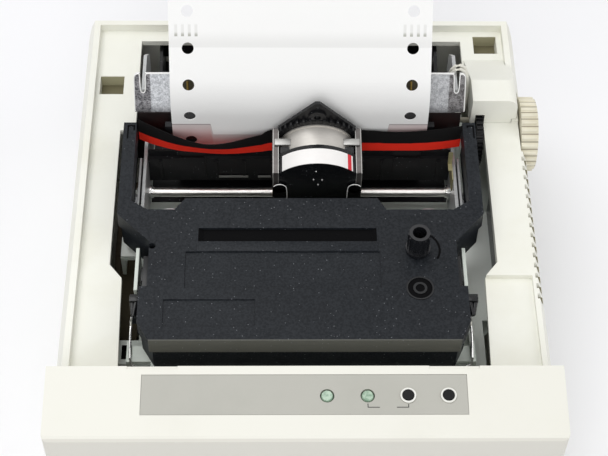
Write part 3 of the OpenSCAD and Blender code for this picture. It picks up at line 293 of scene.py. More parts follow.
class Sheet:
    """A node tree being filled in, with short calls for the nodes used here."""

    def __init__(self, tree):
        self.tree = tree

    def node(self, kind, values=(), **settings):
        made = self.tree.nodes.new("ShaderNode" + kind)
        for key, value in settings.items():
            setattr(made, key, value)
        for key, value in dict(values).items():
            if isinstance(value, bpy.types.NodeSocket):
                self.join(value, made.inputs[key])
            else:
                made.inputs[key].default_value = value
        return made

    def join(self, value, socket):
        self.tree.links.new(value, socket)

    def maths(self, operation, a, b=0.0, clamp=False):
        return self.node("Math", {0: a, 1: b}, operation=operation, use_clamp=clamp).outputs[0]

    def plus(self, a, b, clamp=False):
        return self.maths("ADD", a, b, clamp)

    def minus(self, a, b):
        return self.maths("SUBTRACT", a, b)

    def times(self, a, b, clamp=False):
        return self.maths("MULTIPLY", a, b, clamp)

    def size(self, value):
        return self.maths("ABSOLUTE", value)

    def flip(self, value):
        return self.minus(1.0, value)

    def ramp(self, value, low, high):
        """A smooth step from 0 at low to 1 at high."""
        made = self.node("MapRange", {"Value": value, "From Min": low, "From Max": high},
                         interpolation_type="SMOOTHSTEP")
        return made.outputs["Result"]

    def fall(self, value, low, high):
        """A smooth step from 1 at low to 0 at high."""
        return self.flip(self.ramp(value, low, high))

    def mix(self, factor, a, b):
        """From colour a to colour b, each a socket or a plain colour."""
        a, b = ((*plain_colour(c), 1) if isinstance(c, tuple) else c for c in (a, b))
        return self.node("Mix", {0: factor, 6: a, 7: b}, data_type="RGBA").outputs[2]

    def place(self):
        return self.node("TexCoord").outputs["Object"]

    def axes(self):
        return self.node("SeparateXYZ", {0: self.place()}).outputs

    def noise(self, scale, detail, roughness=0.5):
        values = {"Vector": self.place(), "Scale": scale, "Detail": detail, "Roughness": roughness}
        return self.node("TexNoise", values).outputs[0]


FLOAT = "NodeSocketFloat"


def new_group(name, inputs, outputs):
    """An empty shader group: named numbers go in, each with its default, and named numbers come out."""
    made = bpy.data.node_groups.new(name, "ShaderNodeTree")
    for label, value in inputs.items():
        made.interface.new_socket(name=label, in_out="INPUT", socket_type=FLOAT).default_value = value
    for label in outputs:
        made.interface.new_socket(name=label, in_out="OUTPUT", socket_type=FLOAT)
    return Sheet(made), made.nodes.new("NodeGroupInput").outputs, made.nodes.new("NodeGroupOutput").inputs


@functools.cache
def grain_group():
    """Fine moulded texture: a height for the bump and a slow stain that varies over the piece."""
    sheet, inn, out = new_group("Moulded grain", {"Scale": 2600.0, "Stain scale": 28.0}, ("Height", "Stain"))
    sheet.join(sheet.noise(inn["Scale"], 2.0), out["Height"])
    sheet.join(sheet.ramp(sheet.noise(inn["Stain scale"], 5.0, 0.62), 0.42, 0.72), out["Stain"])
    return sheet.tree


@functools.cache
def dust_group():
    """Scattered pale specks with a thin film in patches."""
    sheet, inn, out = new_group("Dust", {"Scale": 1100.0, "Amount": 0.5}, ("Specks", "Film"))
    cells = sheet.node("TexVoronoi", {"Vector": sheet.place(), "Scale": inn["Scale"], "Randomness": 1.0})
    chance = sheet.node("SeparateColor", {0: cells.outputs["Color"]}).outputs[0]
    rare = sheet.maths("GREATER_THAN", chance, sheet.flip(sheet.times(inn["Amount"], 0.16)))
    near = sheet.maths("LESS_THAN", cells.outputs["Distance"], sheet.times(chance, 0.17))
    patches = sheet.ramp(sheet.noise(46.0, 6.0, 0.7), 0.45, 0.8)
    sheet.join(sheet.times(rare, near), out["Specks"])
    sheet.join(sheet.times(patches, inn["Amount"]), out["Film"])
    return sheet.tree


@functools.cache
def spangle_group():
    """The fine mottling of galvanised sheet: soft patches a millimetre across with finer pits in them."""
    sheet, inn, out = new_group("Zinc spangle", {"Scale": 700.0}, ("Tone", "Height"))
    patches = sheet.noise(inn["Scale"], 3.0, 0.6)
    pits = sheet.noise(2100.0, 3.0, 0.7)
    sheet.join(sheet.plus(sheet.times(patches, 0.45), sheet.times(pits, 0.55)), out["Tone"])
    sheet.join(pits, out["Height"])
    return sheet.tree


@functools.cache
def brushed_group():
    """Fine lines along X, as left by grinding or drawing."""
    sheet, inn, out = new_group("Drawn lines", {"Scale": 900.0, "Along": 0.02}, ("Lines",))
    stretch = sheet.node("CombineXYZ", {0: inn["Along"], 1: 1.0, 2: 1.0}).outputs[0]
    place = sheet.node("VectorMath", {0: sheet.place(), 1: stretch}, operation="MULTIPLY").outputs[0]
    lines = sheet.node("TexNoise", {"Vector": place, "Scale": inn["Scale"], "Detail": 3.0}).outputs[0]
    sheet.join(lines, out["Lines"])
    return sheet.tree


def effect(sheet, group, **values):
    """Places a shared effect with its own values; its group is built the first time it is asked for."""
    values = {label.replace("_", " "): value for label, value in values.items()}
    return sheet.node("Group", values, node_tree=group()).outputs


class Paint(Sheet):
    """A new material, with the values that are the same all over set on its shader."""

    def __init__(self, name, roughness, metallic=0.0, **fixed):
        self.material = bpy.data.materials.new(name)
        self.material.use_nodes = True
        super().__init__(self.material.node_tree)
        self.inputs = self.tree.nodes["Principled BSDF"].inputs
        for key, value in {"Roughness": roughness, "Metallic": metallic, **fixed}.items():
            self.inputs[key.replace("_", " ")].default_value = value

    def done(self, tone, height=None, reach=0.0, strength=1.0, rough=None):
        """The material with its colour, its roughness, and a bump whose full reach is in millimetres."""
        self.join(tone, self.inputs["Base Color"])
        if rough is not None:
            self.join(rough, self.inputs["Roughness"])
        if height is not None:
            made = self.node("Bump", {"Height": height, "Distance": reach * MM, "Strength": strength})
            self.join(made.outputs[0], self.inputs["Normal"])
        return self.material


# ---- materials ----

DUST_TONE = (196, 200, 206)
MOTTLE_TONE = (88, 92, 98)


@functools.cache
def finish(name):
    """The named material, made on first use."""
    return FINISHES[name][0](name)


def moulded(colour, stain, roughness, grain, scale=2600.0, dust=0.0, stain_share=0.5, gloss=0.5,
            skirt=None, front_face_from=CASSETTE_FRONT_Y, mottle=0.0):
    """A recipe for moulded plastic: base colour, slow stain, fine grain and, on dark pieces, dust.

    Front face lighting is a painted tone of light or shade on what faces forward of a line, and mottle a paler grain in
    the colour.
    """
    def make(name):
        sheet = Paint(name, roughness, Specular_IOR_Level=gloss)
        grains = effect(sheet, grain_group, Scale=scale)
        tone = sheet.mix(sheet.times(grains["Stain"], stain_share), colour, stain)
        rough = sheet.plus(sheet.times(grains["Stain"], 0.10), roughness - 0.05)
        # Painted light or shade on what faces forward of the line: darker on the bezel's front, lighter on the
        # cassette's
        if skirt:
            behind = sheet.ramp(sheet.axes()[1], RIM.y + (front_face_from - 0.3) * MM, RIM.y + front_face_from * MM)
            tone = sheet.mix(sheet.flip(behind), tone, skirt)
        if mottle:
            tone = sheet.mix(sheet.times(sheet.ramp(grains["Height"], 0.35, 0.65), mottle), tone, MOTTLE_TONE)
        if dust:
            specks = effect(sheet, dust_group, Amount=dust)
            tone = sheet.mix(sheet.times(specks["Film"], 0.02), tone, DUST_TONE)
            tone = sheet.mix(sheet.times(specks["Specks"], 0.3), tone, DUST_TONE)
            rough = sheet.plus(rough, sheet.times(specks["Film"], 0.2), clamp=True)
        return sheet.done(tone, grains["Height"], grain, rough=rough)
    return make


def plated(colour, dark, roughness, spangle=0.0, lines=0.5, metallic=0.85, along=0.02, scale=900.0):
    """A recipe for bare or plated metal, with drawn lines and, if asked, galvanised crystals."""
    def make(name):
        sheet = Paint(name, roughness, metallic)
        height = effect(sheet, brushed_group, Scale=scale, Along=along)["Lines"]
        tone = sheet.mix(sheet.times(height, lines), colour, dark)
        rough = sheet.plus(sheet.times(height, 0.22), roughness - 0.11)
        if spangle:
            cells = effect(sheet, spangle_group)
            tone = sheet.mix(sheet.times(sheet.ramp(cells["Tone"], 0.3, 0.75), spangle), tone, dark)
            height = cells["Height"]
        return sheet.done(tone, height, 0.01, 0.6, rough=rough)
    return make


def paper_recipe(name):
    """Sprocket paper: faint fibres, painted red light from the ribbon near the print line, painted shade under a fold
    and below the ribbon, and crimps near the top drawn as painted shade.
    """
    sheet = Paint(name, 0.75)
    x, _, z = sheet.axes()
    fibre = sheet.noise(1800.0, 5.0)
    soft = sheet.noise(70.0, 3.0)
    tone = sheet.mix(sheet.times(fibre, 0.05), (246, 246, 245), (214, 212, 208))

    # The stretch of painted reddish light from the ribbon reaches higher beyond the tabs' inner edges, and has a darker
    # outline that is partly the tab's dark edge and partly painted shadow
    across = sheet.size(sheet.minus(x, RIM.x + MECH_X * MM))
    outer = sheet.ramp(across, 30.2 * MM, 31.2 * MM)
    edge = sheet.plus(RIM.z + 4.2 * MM, sheet.times(outer, 5.6 * MM))
    below = sheet.minus(edge, z)
    red_light_mask = sheet.ramp(below, -0.5 * MM, 0.3 * MM)
    red_light_tone = sheet.mix(sheet.ramp(below, 0.0, 7 * MM), (214, 200, 199), (206, 150, 149))
    share = sheet.plus(0.6, sheet.times(soft, 0.5))
    tone = sheet.mix(sheet.times(red_light_mask, share, clamp=True), tone, red_light_tone)
    rim = sheet.fall(sheet.size(sheet.minus(below, 0.1 * MM)), 0.08 * MM, 0.3 * MM)
    tone = sheet.mix(sheet.times(rim, sheet.plus(0.15, sheet.times(outer, 0.5))), tone, (96, 78, 80))

    # The painted shade under the fold, and four pressed bars on each side above it, drawn as painted shade that is
    # darker towards their lower ends
    high = sheet.maths("DIVIDE", sheet.minus(z, RIM.z), MM)
    fold = sheet.times(sheet.ramp(high, 36.8, 37.05), sheet.fall(high, 37.6, 42.0))
    tone = sheet.mix(sheet.times(fold, 0.6), tone, (226, 226, 224))
    bars = [sheet.maths("LESS_THAN", sheet.size(sheet.minus(across, middle * MM)), 0.5 * MM)
            for middle in (42.0, 39.75, 37.45, 35.2)]
    bars = functools.reduce(sheet.plus, bars)
    reach = sheet.times(sheet.ramp(high, 39.9, 40.1), sheet.fall(high, 43.0, 43.6))
    crimp_shade = sheet.mix(sheet.ramp(high, 40.2, 41.4), (178, 178, 170), (232, 232, 230))
    tone = sheet.mix(sheet.times(bars, reach, clamp=True), tone, crimp_shade)

    # The part that is hidden below the ribbon is painted nearly black, as painted shade from the ribbon and the guide
    # above it
    shade_below_ribbon = sheet.fall(z, RIM.z - 4.6 * MM, RIM.z - 3.2 * MM)
    tone = sheet.mix(shade_below_ribbon, tone, (26, 23, 24))
    return sheet.done(tone, fibre, 0.006, 0.5)


def ribbon_recipe(name):
    """Inked ribbon, black above and red below, with a fine weave."""
    sheet = Paint(name, 0.8, Specular_IOR_Level=0.2)
    band = sheet.node("Attribute", attribute_name="up").outputs["Fac"]
    weave = sheet.noise(2400.0, 2.0)
    creep = sheet.noise(240.0, 3.0)
    upper = sheet.ramp(sheet.plus(band, sheet.times(creep, 0.05)), 0.39, 0.42)
    red = sheet.mix(sheet.times(weave, 0.2), ("printer_cassette", "red"), (226, 34, 24))
    return sheet.done(sheet.mix(upper, red, (15, 14, 15)), weave, 0.02)


def tear_recipe(name):
    """Galvanised sheet: painted highlights on its edges, mottled ends, painted shade along the lower edge, and painted
    shade behind the paper.
    """
    sheet = Paint(name, 0.45, 0.6)
    cells = effect(sheet, spangle_group, Scale=760.0)
    x, _, z = sheet.axes()
    across = sheet.minus(x, RIM.x + MECH_X * MM)
    away = sheet.size(across)
    speckle = sheet.ramp(cells["Tone"], 0.38, 0.62)
    middle = sheet.mix(speckle, (226, 228, 232), (168, 171, 176))
    ends = sheet.mix(speckle, (158, 157, 160), (62, 61, 65))
    tone = sheet.mix(sheet.ramp(away, 51.6 * MM, 52.2 * MM), middle, ends)
    right = sheet.ramp(across, 0.0, 40 * MM)
    tone = sheet.mix(sheet.times(right, 0.28), tone, (104, 98, 92))
    # Painted shade: darker towards the lower edge, where the sheet lies in shadow
    low = sheet.fall(z, RIM.z + 8.2 * MM, RIM.z + 12.8 * MM)
    tone = sheet.mix(sheet.times(low, 0.8), tone, (40, 38, 40))

    # A face that doesn't point the way the sheet does is one of its edges; these are painted near white as a highlight,
    # and made less metallic
    normal = sheet.node("NewGeometry").outputs["Normal"]
    face_way = (0, -math.cos(TEAR_SLOPE), math.sin(TEAR_SLOPE))
    facing = sheet.node("VectorMath", {0: normal, 1: face_way}, operation="DOT_PRODUCT").outputs["Value"]
    cut = sheet.fall(sheet.size(facing), 0.5, 0.93)
    tone = sheet.mix(cut, tone, (246, 246, 244))
    # Painted shade on what the paper covers, seen through its holes
    shade_behind_paper = sheet.fall(away, 42.0 * MM, 42.6 * MM)
    tone = sheet.mix(shade_behind_paper, tone, (84, 79, 64))
    sheet.join(sheet.times(sheet.flip(cut), 0.6), sheet.inputs["Metallic"])
    return sheet.done(tone, cells["Height"], 0.02, 0.6)


def band_recipe(name):
    """A bare white label with a red stripe at its right end and slightly scuffed edges."""
    sheet = Paint(name, 0.4)
    x = sheet.axes()[0]
    scuff = sheet.noise(500.0, 4.0)
    start, stop = (sheet.ramp(x, RIM.x + (HEAD_X + at_x) * MM, RIM.x + (HEAD_X + at_x + 0.1) * MM)
                   for at_x in (10.2, 11.5))
    tone = sheet.mix(sheet.times(scuff, 0.12), (238, 236, 234), (190, 180, 178))
    tone = sheet.mix(sheet.minus(start, stop), tone, (206, 30, 44))
    return sheet.done(tone, scuff, 0.008, 0.4)


def wheel_recipe(name):
    """Yellowed plastic, darker between the grip ribs round the rim."""
    sheet = Paint(name, 0.5)
    grains = effect(sheet, grain_group, Stain_scale=60.0)
    _, y, z = sheet.axes()
    across = sheet.minus(y, RIM.y + WHEEL_Y * MM)
    rise = sheet.minus(z, RIM.z + WHEEL_Z * MM)
    turn = sheet.times(sheet.maths("ARCTAN2", rise, across), WHEEL_RIBS / (2 * math.pi))
    step = sheet.size(sheet.minus(sheet.maths("FRACT", sheet.plus(turn, 40.0)), 0.5))
    radius = sheet.maths("SQRT", sheet.plus(sheet.times(across, across), sheet.times(rise, rise)))
    groove = sheet.fall(step, 0.04, 0.14)
    rib_gap_dark = sheet.times(groove, sheet.ramp(radius, WHEEL_R - 1.3 * MM, WHEEL_R - 1.1 * MM))
    tone = sheet.mix(sheet.times(grains["Stain"], 0.5), (226, 221, 202), (204, 196, 170))
    tone = sheet.mix(sheet.times(rib_gap_dark, 0.75), tone, (112, 102, 78))
    return sheet.done(tone, grains["Height"], 0.01)


def lamp_recipe(name):
    """A milky green lens with a clear coat."""
    sheet = Paint(name, 0.25, Coat_Weight=0.6)
    cloud = sheet.ramp(sheet.noise(700.0, 2.0), 0.35, 0.65)
    return sheet.done(sheet.mix(cloud, (122, 152, 128), (166, 190, 168)))


def panel_recipe(name):
    """The grey film of the control panel."""
    sheet = Paint(name, 0.5)
    grains = effect(sheet, grain_group, Scale=1900.0, Stain_scale=40.0)
    tone = sheet.mix(sheet.times(grains["Stain"], 0.3), (177, 176, 168), (164, 164, 155))
    return sheet.done(tone, grains["Height"], 0.006)


# Each finish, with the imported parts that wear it; the last ones are only for pieces made here
FINISHES = {
    "case cream": (moulded(("printer_case", "cream"), (216, 213, 192), 0.52, 0.01, stain_share=0.25),
                   "upper_case lower_case gear_cover"),
    # The bezel's front face is painted darker, as painted shade
    "bezel white": (moulded(("printer_case", "white"), (218, 216, 204), 0.5, 0.01, stain_share=0.2,
                            skirt=(213, 211, 202), front_face_from=BEZEL_FRONT_Y), "front_bezel"),
    "panel grey": (panel_recipe, "panel_plate"),
    "ring white": (moulded((236, 236, 230), (214, 212, 202), 0.35, 0.003), "button_rings"),
    "black gloss": (moulded((8, 8, 9), (12, 12, 13), 0.3, 0.003, gloss=0.2), "select_button feed_button"),
    "lamp green": (lamp_recipe, "power_lamp alarm_lamp"),
    "board green": (moulded((44, 104, 70), (30, 80, 54), 0.4, 0.02, scale=900.0), "panel_board main_board"),
    "foot rubber": (moulded((40, 40, 41), (54, 53, 52), 0.8, 0.03, scale=1600.0, dust=0.5), "rubber_feet"),
    "screw steel": (plated((176, 178, 180), (112, 112, 114), 0.3), "case_screws chassis_screws"),
    "core iron": (plated((120, 108, 92), (70, 60, 50), 0.55, lines=0.7, metallic=0.6), "transformer"),
    "black plastic": (moulded((19, 19, 21), (28, 27, 29), 0.42, 0.01, dust=0.9, gloss=0.25),
                      "power_inlet interface_connector front_guide paper_chute platen_bar carriage head_nose"),
    "black smooth": (moulded((15, 16, 18), (24, 25, 28), 0.3, 0.004, dust=0.2, gloss=0.35), "power_rocker head_cap"),
    "chassis zinc": (plated(("printer_mechanism", "zinc"), (190, 196, 188), 0.5, 0.15, 0.3, metallic=0.1),
                     "chassis cassette_cradle"),
    "frame zinc": (plated((196, 198, 198), (132, 132, 132), 0.38, 0.3, 0.5, metallic=0.45),
                   "side_frame_left side_frame_right"),
    "shaft steel": (plated((248, 246, 242), (208, 205, 200), 0.36, lines=0.35, metallic=1.0, along=1.0, scale=500.0),
                    "guide_shaft rear_rail feed_shaft idler_axle"),
    "bush bronze": (plated((190, 150, 92), (130, 96, 56), 0.4), "carriage_bushes"),
    "head metal": (plated((208, 204, 198), (160, 156, 150), 0.46, 0.12, 0.3, metallic=0.55), "head_body"),
    "cheek steel": (plated((112, 108, 106), (74, 70, 70), 0.42, 0.2, 0.6), "head_side_plates"),
    "band white": (band_recipe, "head_band"),
    "belt black": (moulded((24, 24, 26), (36, 35, 34), 0.7, 0.03, scale=900.0, dust=0.5, gloss=0.25), "drive_belt"),
    "pulley light": (plated((214, 216, 218), (160, 160, 160), 0.35), "motor_pulley idler_pulley"),
    "motor steel": (plated((150, 154, 156), (104, 106, 108), 0.4, 0.2), "carriage_motor feed_motor"),
    "gear natural": (moulded((222, 216, 198), (198, 190, 166), 0.45, 0.006),
                     "feed_pinion ribbon_gear drive_socket ribbon_spindle"),
    "gear black": (moulded((22, 22, 24), (34, 33, 34), 0.45, 0.006, dust=0.3, gloss=0.25), "pin_wheels feed_gear"),
    "roller dark": (moulded((38, 38, 40), (52, 51, 51), 0.65, 0.01, dust=0.3, gloss=0.25), "feed_roller pinch_roller"),
    "wheel cream": (wheel_recipe, "paper_wheel"),
    "tear zinc": (tear_recipe, "tear_plate"),
    "paper white": (paper_recipe, "paper"),
    "leaf brass": (plated((176, 170, 132), (120, 112, 76), 0.45, metallic=0.5), "contact_leaf"),
    "bright steel": (plated((232, 232, 230), (190, 190, 188), 0.25, lines=0.2, metallic=0.9), "latch_springs"),
    # The cassette's front faces are painted lighter, as painted light
    "cassette charcoal": (moulded(("printer_cassette", "charcoal"), (20, 22, 26), 0.46, 0.022, scale=1500.0,
                                  dust=0.8, stain_share=0.6, gloss=0.16, skirt=(92, 92, 86), mottle=0.1),
                          "cassette_cover cassette_base"),
    "knob black": (moulded((19, 20, 23), (28, 29, 33), 0.26, 0.006, scale=1500.0, gloss=0.55), "ribbon_knob"),
    "ribbon ink": (ribbon_recipe, "ribbon"),
    "lead white": (moulded((232, 230, 220), (212, 208, 192), 0.45, 0.004), "sensor_leads"),
    "slot black": (moulded((7, 7, 8), (11, 11, 13), 0.6, 0.006, gloss=0.04), ""),
    "clip steel": (plated((176, 175, 172), (128, 126, 124), 0.4, lines=0.3, metallic=0.7), ""),
    # Painted highlight: near white wires along edges that catch the light
    "cut edge": (plated((246, 246, 244), (220, 220, 218), 0.4, lines=0.2, metallic=0.1), ""),
    "old brass": (plated((168, 140, 70), (104, 84, 40), 0.4, metallic=0.6), ""),
    "shadow brown": (moulded((70, 64, 50), (52, 46, 36), 0.7, 0.01, gloss=0.1), ""),
    # Painted shade, with a faint painted red reflection of the ribbon
    "smoked film": (moulded((38, 32, 32), (58, 44, 45), 0.35, 0.01, gloss=0.3), ""),
    # Painted shade for the insides of the rim's pockets and of the vents
    "pocket floor": (moulded((118, 113, 88), (100, 95, 74), 0.6, 0.01, gloss=0.2), ""),
    "pocket wall": (moulded((172, 168, 140), (150, 145, 118), 0.6, 0.01, gloss=0.2), ""),
    # Painted light for lit patches seen in the gaps
    "gap pale": (moulded((236, 240, 234), (214, 220, 212), 0.5, 0.006), ""),
}

# How much of the edge rounding each part gets
ROUNDED = {"upper_case": 1.0, "lower_case": 1.0, "front_bezel": 1.3, "gear_cover": 1.4, "cassette_cover": 0.7,
           "cassette_base": 0.5, "chassis": 0.4, "cassette_cradle": 0.4, "head_cap": 0.8, "carriage": 0.8,
           "side_frame_left": 0.3, "side_frame_right": 0.3, "tear_plate": 0.3, "head_side_plates": 0.3,
           "panel_plate": 0.2, "paper_wheel": 0.3}


# ---- operators ----

# The body and the slot of like pieces
ON_CASSETTE = ("cassette", "cassette_charcoal")
ON_CARRIAGE = ("print_carriage", "carriage_black")


class PRINTER_OT_finishes(bpy.types.Operator):
    """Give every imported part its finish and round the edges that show"""
    bl_idname = "printer.finishes"
    bl_label = "Part finishes"

    def execute(self, context):
        edge = context.scene.printer_case.edge
        bare = set(NODES)
        for name, (_, wearers) in FINISHES.items():
            for node in wearers.split():
                dress(node, name, ROUNDED.get(node, 0.0) * edge)
                bare.remove(node)
        if bare:
            raise RuntimeError(f"no finish for {sorted(bare)}")
        return {"FINISHED"}


def bell(x, middle, left, right):
    """A smooth hump that falls off faster on one side."""
    return math.exp(-((x - middle) / (left if x < middle else right)) ** 2)


def ribbon_point(x, t):
    """A point on the ink ribbon, in millimetres: x across, t from its lower edge to its upper one."""
    back = (5.2 if x < 0 else 1.9) * (max(0.0, abs(x) - 40) / 16.85) ** 2
    fade = min(1.0, max(0.0, (-10.4 - x) / 3.0))
    slack = bell(x, -31, 14, 17) * fade
    lower = 1.6 * bell(x, -26, 13, 12) * fade - 0.3 * bell(x, -48, 6, 6)
    upper = 5.9 * slack + 0.9 * bell(x, 34, 8, 10)
    lean = lower + (upper - lower) * (0.6 * t + 0.4 * t * t)
    height = RIBBON_HEIGHT - 0.9 * slack
    return Vector((x, PRINT_LINE_Y + back - lean, RIBBON_FOOT_Z + height * t))


class PRINTER_OT_ribbon(bpy.types.Operator):
    """Stretch the ink ribbon between the cassette's arms, slack on the left of the head"""
    bl_idname = "printer.ribbon"
    bl_label = "Inked ribbon"

    def execute(self, context):
        bm = bmesh.new()
        bmesh.ops.create_grid(bm, x_segments=144, y_segments=8, size=0.5)
        up = bm.verts.layers.float.new("up")
        for v in bm.verts:
            x, t = v.co.x * 2 * RIBBON_HALF, v.co.y + 0.5
            v[up] = t
            v.co = MECH @ (ribbon_point(x, t) * MM)
        band = piece("ribbon_band", bm, "ribbon ink", "cassette", "ribbon_ink")
        thick = band.modifiers.new("thickness", "SOLIDIFY")
        thick.thickness = RIBBON_THICK * MM
        thick.offset = 0.0
        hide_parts("ribbon")
        return {"FINISHED"}


def finger_slot():
    """A dark floor with a wedge at each end, a raised lip in front, and a mould line behind."""
    top = CASSETTE_TOP
    left, right, front, rear, wedge = -33.9, 25.1, -104.9, -99.6, 1.6
    slot = bmesh.new()
    add_block(slot, (left, front, top - 0.9), (right, rear, top - 0.82), MECH)
    for x, lean in ((left, wedge), (right, -wedge)):
        near, far = sorted((x, x + lean))
        middle = MECH @ (Vector((x + lean / 2, 0, top - 0.45)) * MM)
        for v in add_block(slot, (near, front, top - 0.89), (far, rear, top - 0.01), MECH):
            if (v.co.x - middle.x) * lean > 0 and v.co.z > middle.z:
                v.co.z = RIM.z + (top - 0.8) * MM
    piece("cassette_slot_floor", slot, "slot black", *ON_CASSETTE)
    lip = bmesh.new()
    add_block(lip, (-34.4, -109.0, top - 0.2), (25.6, -105.0, top + 0.18), MECH, 0.15)
    add_block(lip, (-5.35, -97.6, top - 0.2), (-5.1, -87.8, top + 0.06), MECH)
    piece("cassette_slot_lip", lip, "cassette charcoal", *ON_CASSETTE)


def side_fittings():
    """Stepped guides beside the body, and hooks with two prongs each in front of them."""
    steps = [mirrored(side, (51.2 - trim, *low), (high_x - trim * 0.6, *high))
             for side, trim in ((-1, 1.4), (1, 0.0))
             for low, high_x, high in (((-121.4, -8.5), 52.9, (-108.4, 3.6)), ((-117.5, -8.5), 53.5, (-112.2, 2.2)))]
    block_piece("cassette_side_guides", steps, "black smooth", *ON_CASSETTE, round_by=0.2)
    hooks = bmesh.new()
    for side, inner, outer in ((-1, 52.6, 55.9), (1, 53.9, 57.7)):
        add_block(hooks, *mirrored(side, (inner, -125.9, 0.4), (outer, -123.2, 2.9)), MECH, 0.25)
        for x, tip_x, tip_y, thick, thin in ((inner + 1.2, inner + 1.9, -130.2, 1.15, 0.7),
                                             (outer - 0.9, inner + 2.2, -129.8, 0.9, 0.6)):
            add_rod(hooks, (side * x, -125.4, 1.2), (side * tip_x, tip_y, 0.6), thick, MECH, thin, 20)
    piece("cassette_hooks", hooks, "black smooth", *ON_CASSETTE)


def arm_grooves():
    """A narrow groove with two legs in the tip of each arm, drawn as black strips of painted shade."""
    low_z, high_z, half = CASSETTE_TOP - 0.2, CASSETTE_TOP + 0.03, 0.28
    rows = []
    for side, near, far in ((-1, (57.8, -57.2), (59.9, -60.9)), (1, (58.7, -56.0), (60.7, -60.7))):
        for x, y in (near, far):
            rows.append(mirrored(side, (x - half, y, low_z), (x + half, -55.2, high_z)))
        rows.append(mirrored(side, (near[0] - half, -55.5, low_z), (far[0] + half, -54.8, high_z)))
    block_piece("cassette_arm_grooves", rows, "slot black", *ON_CASSETTE)


def drive_marks():
    """The curved mark beside the knob, and the drive's well, a flat black disc of painted shade, with a ring and a hub
    in it.
    """
    top = CASSETTE_TOP
    mark = bmesh.new()
    add_ring(mark, (KNOB_X, KNOB_Y, top), (0, 0, 1), 6.9, 7.6, 0.12, MECH, start=-75, sweep=110, steps=28)
    piece("cassette_turn_mark", mark, "slot black", *ON_CASSETTE)
    # Painted shade: the well is a flat black disc, not a recess
    well = bmesh.new()
    add_rod(well, (KNOB_X, DRIVE_Y, top - 0.3), (KNOB_X, DRIVE_Y, top + 0.03), 4.2, MECH, sides=48)
    piece("cassette_drive_well", well, "slot black", *ON_CASSETTE)
    ring = bmesh.new()
    for inner, outer, height in ((4.0, 4.5, 0.36), (1.5, 2.3, 0.34)):
        add_ring(ring, (KNOB_X, DRIVE_Y, top - 0.1), (0, 0, 1), inner, outer, height, MECH)
    piece("cassette_drive_ring", ring, "black smooth", *ON_CASSETTE)


class PRINTER_OT_cassette_details(bpy.types.Operator):
    """Add the cassette's finger slot, side guides, hooks, arm grooves, turning mark and drive ring"""
    bl_idname = "printer.cassette_details"
    bl_label = "Cassette details"

    def execute(self, context):
        finger_slot()
        side_fittings()
        arm_grooves()
        drive_marks()
        return {"FINISHED"}


def head_ribs():
    """A half ring with radial ribs behind the head's body, and loose tabs round its waist."""
    arc = bmesh.new()
    add_ring(arc, (0, -3.4, 0), (0, 1, 0), 13.4, 15.4, 2.1, HEAD, steps=64)
    bmesh.ops.bisect_plane(arc, geom=arc.verts[:] + arc.edges[:] + arc.faces[:], clear_inner=True,
                           plane_co=HEAD @ Vector((0, 0, 6 * MM)), plane_no=HEAD.to_3x3() @ Vector((0, 0, 1)))
    close_rim(arc)
    for k in range(-6, 7):
        turn = Matrix.Rotation(math.radians(k * 8.5), 4, "Y")
        add_block(arc, (-0.45, -3.9, 14.6), (0.45, -1.6, 16.3), HEAD @ turn, 0.15)
    piece("head_ribbed_arc", arc, "black plastic", *ON_CARRIAGE)
    tabs = bmesh.new()
    for angle in (-44, -22, 4, 20, 42):
        turn = Matrix.Rotation(math.radians(angle), 4, "Y")
        add_block(tabs, (-1.5, -14.1, 12.0), (1.5, -11.6, 13.5), HEAD @ turn, 0.3)
    piece("head_tabs", tabs, "black plastic", *ON_CARRIAGE)


def carriage_ears():
    """Round-topped ears in front of the carriage, with a wire of painted highlight round the inner edge of each."""
    front, back, crown, radius = -79.2, -78.75, 2.2, 2.35
    ears = bmesh.new()
    for side in SIDES:
        x = HEAD_X + side * 12.75
        add_block(ears, (x - 2.45, front, -14.0), (x + 2.45, back, crown))
        add_rod(ears, (x + side * 0.1, front, crown), (x + side * 0.1, back, crown), radius, sides=48)
    piece("carriage_ears", ears, "black gloss", *ON_CARRIAGE)
    for side in SIDES:
        wire_y = front - 0.05
        points = [(HEAD_X + side * 10.35, wire_y, -4.0), (HEAD_X + side * 10.35, wire_y, 0.0)]
        for angle in range(0, 151, 15):
            a = math.radians(angle)
            points.append((HEAD_X + side * (12.85 - radius * math.cos(a)), wire_y, crown + radius * math.sin(a)))
        wire("carriage_ear_edge_" + SIDE_NAMES[side], points, 0.16, "cut edge", *ON_CARRIAGE)


def head_cheeks():
    """Turned-in flanges along the head's side plates, and thin lines of painted highlight on their edges."""
    inner, outer, line = 13.3, 15.05, 0.12
    flanges = on_both_sides((((inner, -20.0, -2.0), (outer, -19.7, 8.4)), ((inner, -19.9, 8.1), (outer, -1.7, 8.4))))
    block_piece("head_cheek_flanges", flanges, "cheek steel", "print_carriage", "frame_zinc", HEAD)
    cheek_highlights = on_both_sides([((x - line, *low), (x + line, *high)) for x in (inner, outer)
                          for low, high in (((-20.15, -2.0), (-19.75, 8.5)), ((-20.0, 8.2), (-1.7, 8.55)))])
    block_piece("head_cheek_rims", cheek_highlights, "clip steel", "print_carriage", "frame_zinc", HEAD)


